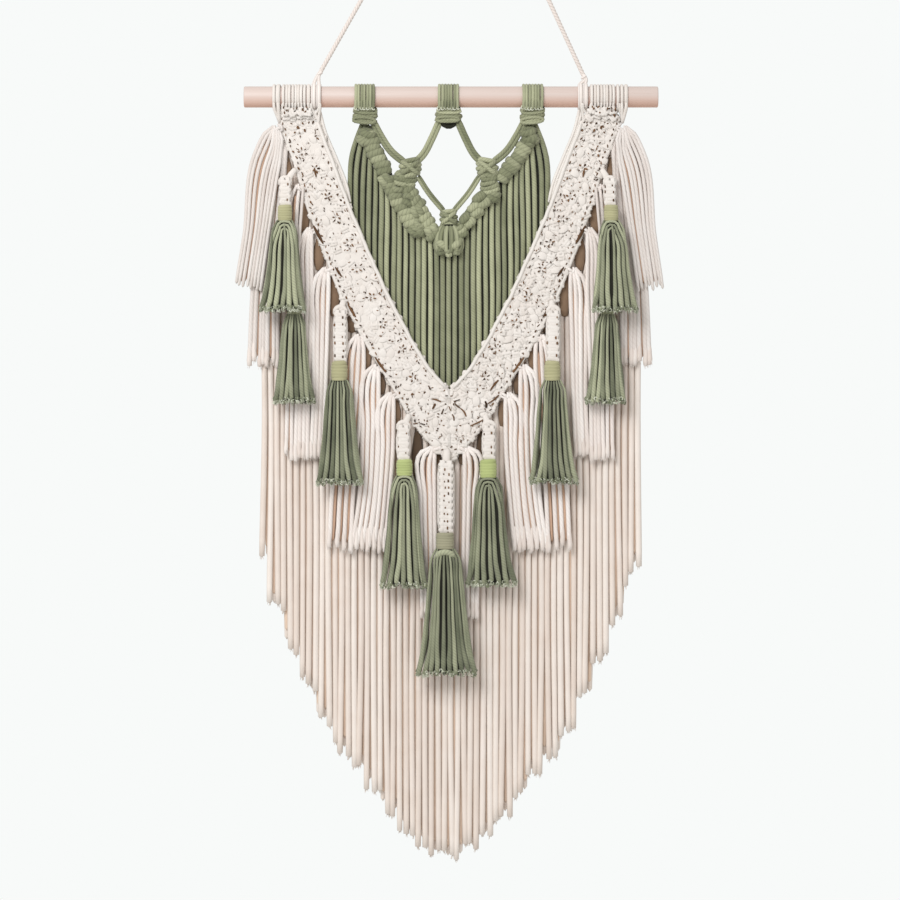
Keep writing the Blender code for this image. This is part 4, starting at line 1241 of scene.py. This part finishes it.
def leaf(row, sign):
    line = [at(MID + sign * (row.out + row.lean * share), row.top + (row.low - row.top) * share, LEAF_DEPTH)
            for share in (0.0, 0.5, 1.0)]
    return cord(line, row.wide + 4, flat=0.3, tone=row.tone, girth=LEAF_GIRTH)


# Painted shade: tan-brown leaves where one looks into the gaps; the darkest has the lowest tone.
piece("leaf_shades", [leaf(row, sign) for sign in (-1, 1) for row in LEAVES], LEAF_PAINTED_SHADE, "back_fringe")

# %% [markdown]
# ## Bundles
# On each outer edge of the band bunches of cord leave a knot, arch outwards and hang in tiers. A bunch is
# given by the line of its inner and its outer cord, and the cords between them are blends of the two.
# Cords in painted shade, darker and warmer, lie behind the gaps. All but the uppermost bunch have brushed
# ends, fatter and fibrous. Most bunches are of a lighter copy of the combed cotton: painted light.

# %% Bundles
Bundle = namedtuple("Bundle", "name knot near far cords thick depth finish brushed",
                    defaults=(4, 4.5, -3.4, COMBED_PAINTED_LIGHT, True))
BUNDLES = (
    Bundle("a", (172.0, 30.0), ((169.0, 58), (173, 85), (180, 131), (189, 194)),
           ((183, 35), (194, 56), (205, 139), (213, 190)), 8, 3.7, -6.6, COMBED, False),
    Bundle("tier", (166.0, 40.0), ((165, 72), (169, 120), (172, 200), (172, 268)),
           ((184, 52), (190, 110), (197, 200), (200, 266)), 7, 4.8, -1.0, COMBED),
    Bundle("b", (148.5, 88.0), ((151, 98), (154, 150), (157, 250), (158, 361)),
           ((156.5, 96), (159, 150), (161, 250), (163, 359)), 2, 4.0),
    Bundle("c", (137.0, 131.0), ((138, 146), (138, 190), (141, 280), (142, 363)),
           ((148, 141), (150.5, 190), (152, 280), (154, 361))),
    Bundle("d", (121.5, 171.0), ((121, 188), (122, 230), (124, 300), (126, 360)),
           ((134, 183), (136, 230), (136, 300), (138, 360))),
    Bundle("e", (89.0, 238.0), ((86, 254), (88, 300), (96, 390), (99, 452)),
           ((101, 249), (106, 300), (117, 390), (120, 450))),
    Bundle("f", (71.5, 268.0), ((71, 284), (71.5, 330), (75, 400), (82, 454)),
           ((85, 279), (86.5, 330), (90, 400), (98, 454))),
    Bundle("g", (56.0, 296.0), ((56, 310), (56.5, 350), (60, 400), (65, 453)),
           ((69, 305), (71, 350), (74, 400), (80, 452))),
    Bundle("h", (14.0, 350.0), ((15, 360), (15, 400), (14, 460), (14, 518)),
           ((28, 355), (29, 400), (28, 460), (27, 520))),
)
BUNDLE_LAY = 16.0
BRUSH_RISE = (24, 16, 9, 4, -1)  # how far over a cord's end its brushed part runs
BRUSH_GIRTH = ((0, 0.2), (0.35, 0.85), (0.6, 1.0), (0.85, 1.2), (1, 1.1))


def brushed_end(foot, thick):
    """A cord's end with its plies combed out."""
    line = [foot + mm(stray(0.6) * (up < 5), -0.5, up) for up in BRUSH_RISE]
    made = cord(line, thick, step=3.0, tone=draw.uniform(0.3, 0.8), girth=BRUSH_GIRTH)
    return [made, *wisps(foot + mm(0, -1.0, 6.0), 9, 10.0, 2.6, thick=1.0, tone=1.0)]


def make_bundle(row, side, sign):
    cords, brush, under = [], [], []
    near, far = np.array(row.near, float), np.array(row.far, float)
    last = row.cords - 1
    out, drop = row.knot
    girth = ((0, 0.8), (0.04, 1), (0.1, 1), (0.97, 1), (1, 1.0 if row.brushed else 0.75))
    for k in range(row.cords):
        share = k / last
        path = near + (far - near) * np.clip(share + stray(0.05) * (0 < k < last), 0, 1)
        depth = row.depth + stray(0.5)
        ends = (0, 0, 0, stray(3))
        # Painted shade: a darker cord lies behind each gap between two cords.
        if k:
            gap = near + (far - near) * (share - 0.5 / last)
            line = [at(MID + sign * o, d - less, depth + row.thick * 0.55)
                    for (o, d), less in zip(gap, (0, 0, 0, 6))]
            under.append(cord(line, row.thick * 0.9, step=12.0, sides=6, tone=0.5))
        line = [at(MID + sign * (out + share * 2), drop + 3 * (1 - share), depth),
                at(MID + sign * (out + (path[0][0] - out) * 0.55), drop - 0.5 + (path[0][1] - drop) * 0.14,
                   depth - 1.0)]
        line += [at(MID + sign * o, d + end, depth) for (o, d), end in zip(path, ends)]
        cords.append(cord(line, row.thick, step=7.0, lay=BUNDLE_LAY, tone=draw.uniform(0.5, 1.0),
                          girth=girth))
        if row.brushed:
            brush += brushed_end(line[-1], row.thick)
    cords += square_knot(at(MID + sign * (out - 1), drop + 2, row.depth - 1), 9, 8, 2.2, sign * 0.5)
    node = f"bundle_{row.name}_{side}"
    piece(f"bundle_cords_{row.name}_{side}", cords, row.finish, node)
    piece(f"bundle_behind_{row.name}_{side}", under, BUNCH_PAINTED_SHADE, node)
    if brush:
        piece(f"bundle_ends_{row.name}_{side}", brush, BRUSHED, node)


for side, sign in (("left", -1), ("right", 1)):
    for row in BUNDLES:
        make_bundle(row, side, sign)

# %% [markdown]
# ## Sinnets
# A sinnet is one column of square knots over two fillers, the narrow strap that each tassel hangs on. A
# lead of cord brings it off the band, and a cap of cord rounds its top, but for the middle one, which grows
# out of the band's tip. Small holes run down it in two columns, drawn as dark specks of painted shadow.

# %% Sinnets
Sinnet = namedtuple("Sinnet", "name lead_across lead_drop across top bottom wide often", defaults=(1.0,))
SINNETS = (Sinnet("1l", -155.0, 72.0, -165.5, 86.0, 110.0, 14.0),
           Sinnet("3l", -107.0, 203.0, -110.5, 215.0, 265.5, 15.0),
           Sinnet("4l", -41.5, 317.0, -47.5, 330.0, 363.5, 15.0, 0.6),
           Sinnet("5", -4.0, 352.0, -5.0, 366.0, 436.5, 18.0),
           Sinnet("4r", 33.5, 317.0, 38.0, 330.0, 363.5, 15.0, 0.6),
           Sinnet("3r", 100.0, 203.0, 102.0, 215.0, 265.5, 15.0),
           Sinnet("1r", 150.0, 72.0, 158.5, 86.0, 110.0, 14.0))
MIDDLE = "5"
SINNET_DEPTH = -9.3
SINNET_PITCH = 6.4
SINNET_HOLES = ((-0.36, 0.4), (0.2, 0.75))  # share of the width, how often
MIDDLE_HOLES = ((-0.08, 0.7), (0.13, 0.9))
CAP = ((-0.38, 3.0), (-0.33, -2.0), (-0.16, -4.6), (0.16, -4.6), (0.33, -2.0), (0.38, 3.0))


def sinnet_holes(row, across, drop):
    """The small holes below one knot, drawn as dark specks of painted shadow."""
    holes = []
    for aside, often in MIDDLE_HOLES if row.name == MIDDLE else SINNET_HOLES:
        if draw.random() > often * row.often:
            continue
        spot = at(across + aside * row.wide + stray(0.9), drop + 3.2 + stray(1.2), SINNET_DEPTH - 3.0)
        long = draw.uniform(0.8, 1.6)
        line = [spot + mm(0, 0, high) for high in (long, 0, -long)]
        holes.append(cord(line, draw.uniform(1.2, 1.9), step=0.6, sides=6, flat=0.5,
                          tone=draw.uniform(0.2, 0.9)))
    return holes


def make_sinnet(row):
    points = ((row.lead_across, row.lead_drop), (row.across, row.top), (row.across, row.bottom))
    cords, holes = [], []
    for (across, drop), way in along(points, SINNET_PITCH):
        if drop < row.top - 1:
            continue
        cords += square_knot(at(across, drop, SINNET_DEPTH - 2.0), row.wide * 0.86, SINNET_PITCH * 1.5, 0.6,
                             way * 0.6, tones=(0.65, 0.9), sides=6, flat=0.22, full=1.38)
        holes += sinnet_holes(row, across, drop)
    lead, top, bottom = (at(across, drop, SINNET_DEPTH + 0.6) for across, drop in points)
    cords.append(cord([top, bottom], row.wide, step=6.0, sides=10, flat=0.36, tone=0.7))
    cords.append(cord([lead, (lead + top) / 2 - mm(0, 0.4, 0), top - mm(0, 0, 8)], row.wide * 0.45, flat=0.5,
                      tone=0.7))
    if row.name != MIDDLE:
        cap = [at(row.across + row.wide * u, row.top + v, SINNET_DEPTH - 0.3) for u, v in CAP]
        cords.append(cord(cap, 4.6, step=2.5, flat=0.6, tone=0.7))
    piece(f"sinnet_knots_{row.name}", cords, CREAM, f"sinnet_{row.name}")
    piece(f"sinnet_holes_{row.name}", holes, HOLE_PAINTED_SHADOW, f"sinnet_{row.name}")


for row in SINNETS:
    make_sinnet(row)

# %% [markdown]
# ## Tassels
# A tassel is a hank of cords doubled over and wound round its neck. Under the winding the cords hang side
# by side and flare a little, each of them thin at the neck, where it is squeezed, and full at the hem. The
# skirt has a front and a back layer and a dark core in painted shade that closes the gaps between them.

# %% Tassels
Tassel = namedtuple("Tassel", "name across top neck wide hem_left hem_right hem depth hem_depth finish")
TASSELS = (
    Tassel("1l", -165.5, 110.0, 125.0, 16.0, -191.5, -143.5, 214.0, -15.4, -25.5, PALE_SAGE),
    Tassel("2l", -156.5, 209.0, 218.0, 15.0, -177.5, -134.5, 305.0, -11.4, -15.5, SAGE),
    Tassel("3l", -111.5, 265.5, 284.0, 17.5, -134.5, -86.5, 386.0, -12.4, -17.5, PALE_SAGE),
    Tassel("4l", -46.5, 363.5, 379.0, 17.0, -71.5, -23.5, 489.0, -12.4, -17.0, BRIGHT),
    Tassel("5", -6.0, 436.5, 452.0, 19.5, -35.5, 26.5, 576.0, -13.4, -20.5, GREYED),
    Tassel("4r", 37.0, 363.5, 381.0, 18.0, 14.5, 66.5, 487.0, -12.4, -17.0, BRIGHT),
    Tassel("3r", 101.0, 265.5, 284.0, 17.5, 77.5, 127.5, 385.0, -12.4, -17.5, PALE_SAGE),
    Tassel("2r", 155.5, 209.0, 218.0, 15.0, 132.5, 174.5, 305.0, -11.4, -15.5, SAGE),
    Tassel("1r", 159.5, 110.0, 125.0, 16.0, 139.5, 186.5, 214.0, -15.4, -25.5, PALE_SAGE),
)
ARCHED = ("1l", "4l", "4r", "1r")
SKIRT_LAY = 9.0
HEM_THICK = 17.0
# Down the skirt: a share of its length, and how much of its flare it has there
SKIRT = ((0.0, 0.0), (0.05, 0.2), (0.25, 0.36), (0.55, 0.52), (0.82, 0.72), (0.94, 0.88), (1.0, 1.0))
SKIRT_GIRTH = ((0, 0.42), (0.1, 0.5), (0.5, 0.62), (0.85, 0.96), (1, 1.3))


def skirt_cord(row, aside, front, tone, thick=5.0, fill=1.0, below=0, step=6.0):
    """One cord of the skirt. aside is -1 at its left edge and 1 at its right, front is 1 on its face."""
    top = row.neck - 1.5
    bottom = row.hem + draw.uniform(-3, 2)
    hem_half = (row.hem_right - row.hem_left) / 2 - thick / 2
    middle = (row.hem_left + row.hem_right) / 2
    wave = stray(1.5)
    round_off = math.sqrt(max(0.0, 1 - (0.96 * aside)**2))
    line = []
    for down, flare in SKIRT[below:]:
        reach = ((1 - flare) * (row.wide / 2 - 1.6) + flare * hem_half) * fill
        deep = ((1 - flare) * 4.6 + flare * (HEM_THICK - thick) / 2) * fill
        centre = row.across + flare * (middle - row.across) + (wave if 0.2 < down < 0.9 else 0)
        depth = row.depth + flare * (row.hem_depth - row.depth)
        line.append(at(centre + aside * reach, top + (bottom - top) * down, depth - front * deep * round_off))
    return cord(line, thick, step=step, sides=7, lay=SKIRT_LAY, tone=tone, girth=SKIRT_GIRTH)


# %% [markdown]
# On the uppermost pair, and on the pair beside the middle tassel, the cords of the face come up one side,
# turn over in an arch under the head and go down the other side, three arches one inside the other.

# %% Arches
ARCHES = 3
ARCH = ((-1, 5.5), (-0.75, 1.4), (0, 0.0), (0.75, 1.4), (1, 5.5))
ARCH_GIRTH = ((0, 1.25), (0.3, 0.85), (0.5, 0.55), (0.7, 0.85), (1, 1.25))


def arch_cord(row, level, tone):
    """A cord of the skirt's face that goes over in an arch. Level 0 is the outermost."""
    aside = 1 - level / ARCHES
    left, right = (skirt_cord(row, sign * aside, 1.0, tone).line for sign in (-1, 1))
    top = row.neck + 0.5 + 3.2 * level
    reach = (row.wide / 2 - 0.6) * (1 - level / 3.4)
    turn = [at(row.across + reach * u, top + v, row.depth - row.wide * 0.37) for u, v in ARCH]
    line = [*reversed(left[2:]), *turn, *right[2:]]
    return cord(line, 4.6, sides=7, lay=SKIRT_LAY, tone=tone, girth=ARCH_GIRTH)


# %% [markdown]
# The hem is frayed: short curled ends stand all round it, and a few fibres hang from every cord.

# %% Frayed hem
CURLS = 130


def curls(row):
    """Short curled ends, more of them on the front. Their tones spread wide and many are drawn at the darkest:
    partly the curls' own variety and partly painted shade for the dark spots between them.
    """
    cords = []
    middle, half = (row.hem_left + row.hem_right) / 2, (row.hem_right - row.hem_left) / 2 - 1.5
    for _ in range(CURLS):
        angle = draw.gauss(0, 1.4)
        spot = at(middle + half * math.sin(angle), row.hem + draw.uniform(-4, 1.5),
                  row.hem_depth - (HEM_THICK / 2 - 1) * math.cos(angle))
        turn, reach = draw.uniform(0, 2 * math.pi), draw.uniform(0.9, 1.9)
        line = [spot + mm(reach * math.cos(turn + a), stray(0.8), reach * math.sin(turn + a))
                for a in (0, 1.3, 2.6, 3.9)]
        cords.append(cord(line, 1.2, step=1.5, sides=4, tone=draw.uniform(-0.5, 1.0)))
    return cords


def hem_wisps(row, cords):
    """Loose fibres at every end that reaches the hem. An arch, whose line has more points, has both there."""
    frays = []
    for made in cords:
        for k in (0, -1) if len(made.line) > len(SKIRT) else (-1,):
            if made.line[k][2] <= at(0, row.hem - 20)[2]:
                frays += wisps(made.line[k] + mm(0, 0, 4.0), 4, 8.0, 2.4, thick=1.1, tone=0.6)
    return frays


# %% [markdown]
# The head is a stack of rings over a solid core. Two tassels hang on a plain cord, and the middle one has a
# cord laid over its shoulders.

# %% Heads and whole tassels
COILS = 6
FRONT_CORDS = 8
MIDDLE_MORE = 2
HEAD_DEEP = 0.36  # the head's half depth, as a share of its width
HANGERS = {"2l": (-147.5, 90.0, -7.7), "2r": (144.5, 90.0, -7.7)}
SHOULDERS = ((-8.5, 9.0, 3.0), (-6.0, 4.5, 6.0), (0.0, 2.8, 7.6), (6.0, 4.5, 6.0), (8.5, 9.0, 3.0))


def tassel_head(row):
    size = (row.neck - row.top) / COILS
    head = []
    for k in range(COILS):
        centre = at(row.across, row.top + size * (k + 0.5), row.depth)
        bulge = 0.95 if k in (0, COILS - 1) else 1.0
        line = ring(centre, row.wide / 2 * bulge - size, row.wide * HEAD_DEEP - size, stray(0.4))
        head.append(cord(line, size * 2.0, step=2.4, sides=9, closed=True, lay=8.0,
                         tone=draw.uniform(0.45, 0.75)))
    core = [at(row.across, row.top + (row.neck - row.top) * v, row.depth) for v in (0.1, 0.4, 0.7, 1.2)]
    return [*head, cord(core, row.wide * 0.86, flat=0.75, tone=0.5)]


def tassel_skirt(row):
    """The back layer, the face, the shoulder cord of the middle tassel and the cords at both sides."""
    count = FRONT_CORDS + MIDDLE_MORE * (row.name == MIDDLE)
    asides = [2 * k / (count - 1) - 1 for k in range(count)]
    cords = [skirt_cord(row, aside, -1.0, draw.uniform(0.2, 0.9)) for aside in asides[1:-1]]
    if row.name in ARCHED:
        cords += [arch_cord(row, level, draw.uniform(0.5, 1.0)) for level in range(ARCHES)]
        cords.append(skirt_cord(row, 0.0, 1.0, 0.6, below=1))
    else:
        cords += [skirt_cord(row, aside, 1.0, draw.uniform(0.2, 1.0)) for aside in asides]
    if row.name == MIDDLE:
        cap = [at(row.across + u, row.neck + v, row.depth - w) for u, v, w in SHOULDERS]
        cords.append(cord(cap, 6.5, step=2.0, sides=9, flat=0.7, lay=SKIRT_LAY, tone=0.95))
    return cords + [skirt_cord(row, side, front, draw.uniform(0.2, 0.9)) for side in (-1, 1)
                    for front in (1.7, 0.0, -1.7)]


def tassel_core(row):
    # Painted shade: the core and a collar under the head are in the dark colour of cords in shade.
    core = [skirt_cord(row, (k - 3.5) / 4, front, 0.3, thick=6.5, fill=0.66, step=12.0)
            for k in range(8) for front in (-1, 1)]
    collar = ring(at(row.across, row.neck + 0.6, row.depth), row.wide / 2 - 1, row.wide * HEAD_DEEP - 1)
    return [*core, cord(collar, 1.8, step=3, sides=6, closed=True)]


def make_tassel(row):
    node = f"tassel_{row.name}"
    piece(f"tassel_head_{row.name}", tassel_head(row), row.finish, node)
    if row.name in HANGERS:
        across, drop, depth = HANGERS[row.name]
        line = [at(across, drop, depth), at((across + row.across) / 2, (drop + row.top) / 2, depth - 1),
                at(row.across, row.top + 4, row.depth)]
        piece(f"tassel_hanger_{row.name}", [cord(line, 3.0, step=8)], COMBED, node)
    skirt = tassel_skirt(row)
    piece(f"tassel_skirt_{row.name}", skirt, SKIRT_SAGE, node)
    piece(f"tassel_hem_{row.name}", curls(row) + hem_wisps(row, skirt), FRAYED, node)
    piece(f"tassel_core_{row.name}", tassel_core(row), SAGE_PAINTED_SHADE, node)


for row in TASSELS:
    make_tassel(row)

# %% [markdown]
# ## Room and light
# The photograph has an almost white background and soft light with one direction, from the upper left. The
# world gives the background and the fill, and one large area light gives the direction. The floor is far
# below.

# %% Room and light
FLOOR_DROP = 1.9
FLOOR_RADIUS = 2.6
FILL = 0.68
SOFTBOX_WIDE = 1.2
SOFTBOX_WATTS = 41.0
SOFTBOX_PLACE = (-1.0, -2.05, 0.75)
LIT_MIDDLE = Vector((0, 0, -0.6))


def make_world():
    world = bpy.data.worlds.new("studio")
    bpy.context.scene.world = world
    world.use_nodes = True
    tree = world.node_tree
    tree.nodes.clear()
    path = add(tree, "ShaderNodeLightPath")
    fill = add(tree, "ShaderNodeBackground", {}, {"Color": linear("#FFFDFA"), "Strength": FILL})
    seen = add(tree, "ShaderNodeBackground", {}, {"Color": linear("#F8FAF9"), "Strength": 1.0})
    both = add(tree, "ShaderNodeMixShader", {},
               {0: path.outputs["Is Camera Ray"], 1: fill.outputs[0], 2: seen.outputs[0]})
    add(tree, "ShaderNodeOutputWorld", {}, {"Surface": both.outputs[0]})


def make_softbox():
    lamp = bpy.data.lights.new("softbox", "AREA")
    lamp.size = SOFTBOX_WIDE
    lamp.energy = SOFTBOX_WATTS
    light = bpy.data.objects.new("softbox", lamp)
    bpy.context.scene.collection.objects.link(light)
    light.location = SOFTBOX_PLACE
    light.rotation_euler = (LIT_MIDDLE - light.location).to_track_quat("-Z", "Y").to_euler()


def make_floor():
    shape = bmesh.new()
    bmesh.ops.create_circle(shape, cap_ends=True, segments=64, radius=FLOOR_RADIUS)
    mesh = bpy.data.meshes.new("floor")
    shape.to_mesh(mesh)
    shape.free()
    floor = bpy.data.objects.new("floor", mesh)
    bpy.context.scene.collection.objects.link(floor)
    floor.location = (0, 0, -FLOOR_DROP)
    paint, _, shader = blank("matt white painted floor")
    shader.inputs["Base Color"].default_value = linear("#EDEDEB")
    shader.inputs["Roughness"].default_value = 0.8
    mesh.materials.append(paint)


bpy.context.scene.view_settings.view_transform = "Standard"
make_world()
make_softbox()
make_floor()
print("floor", FLOOR_DROP, "m below the nail")
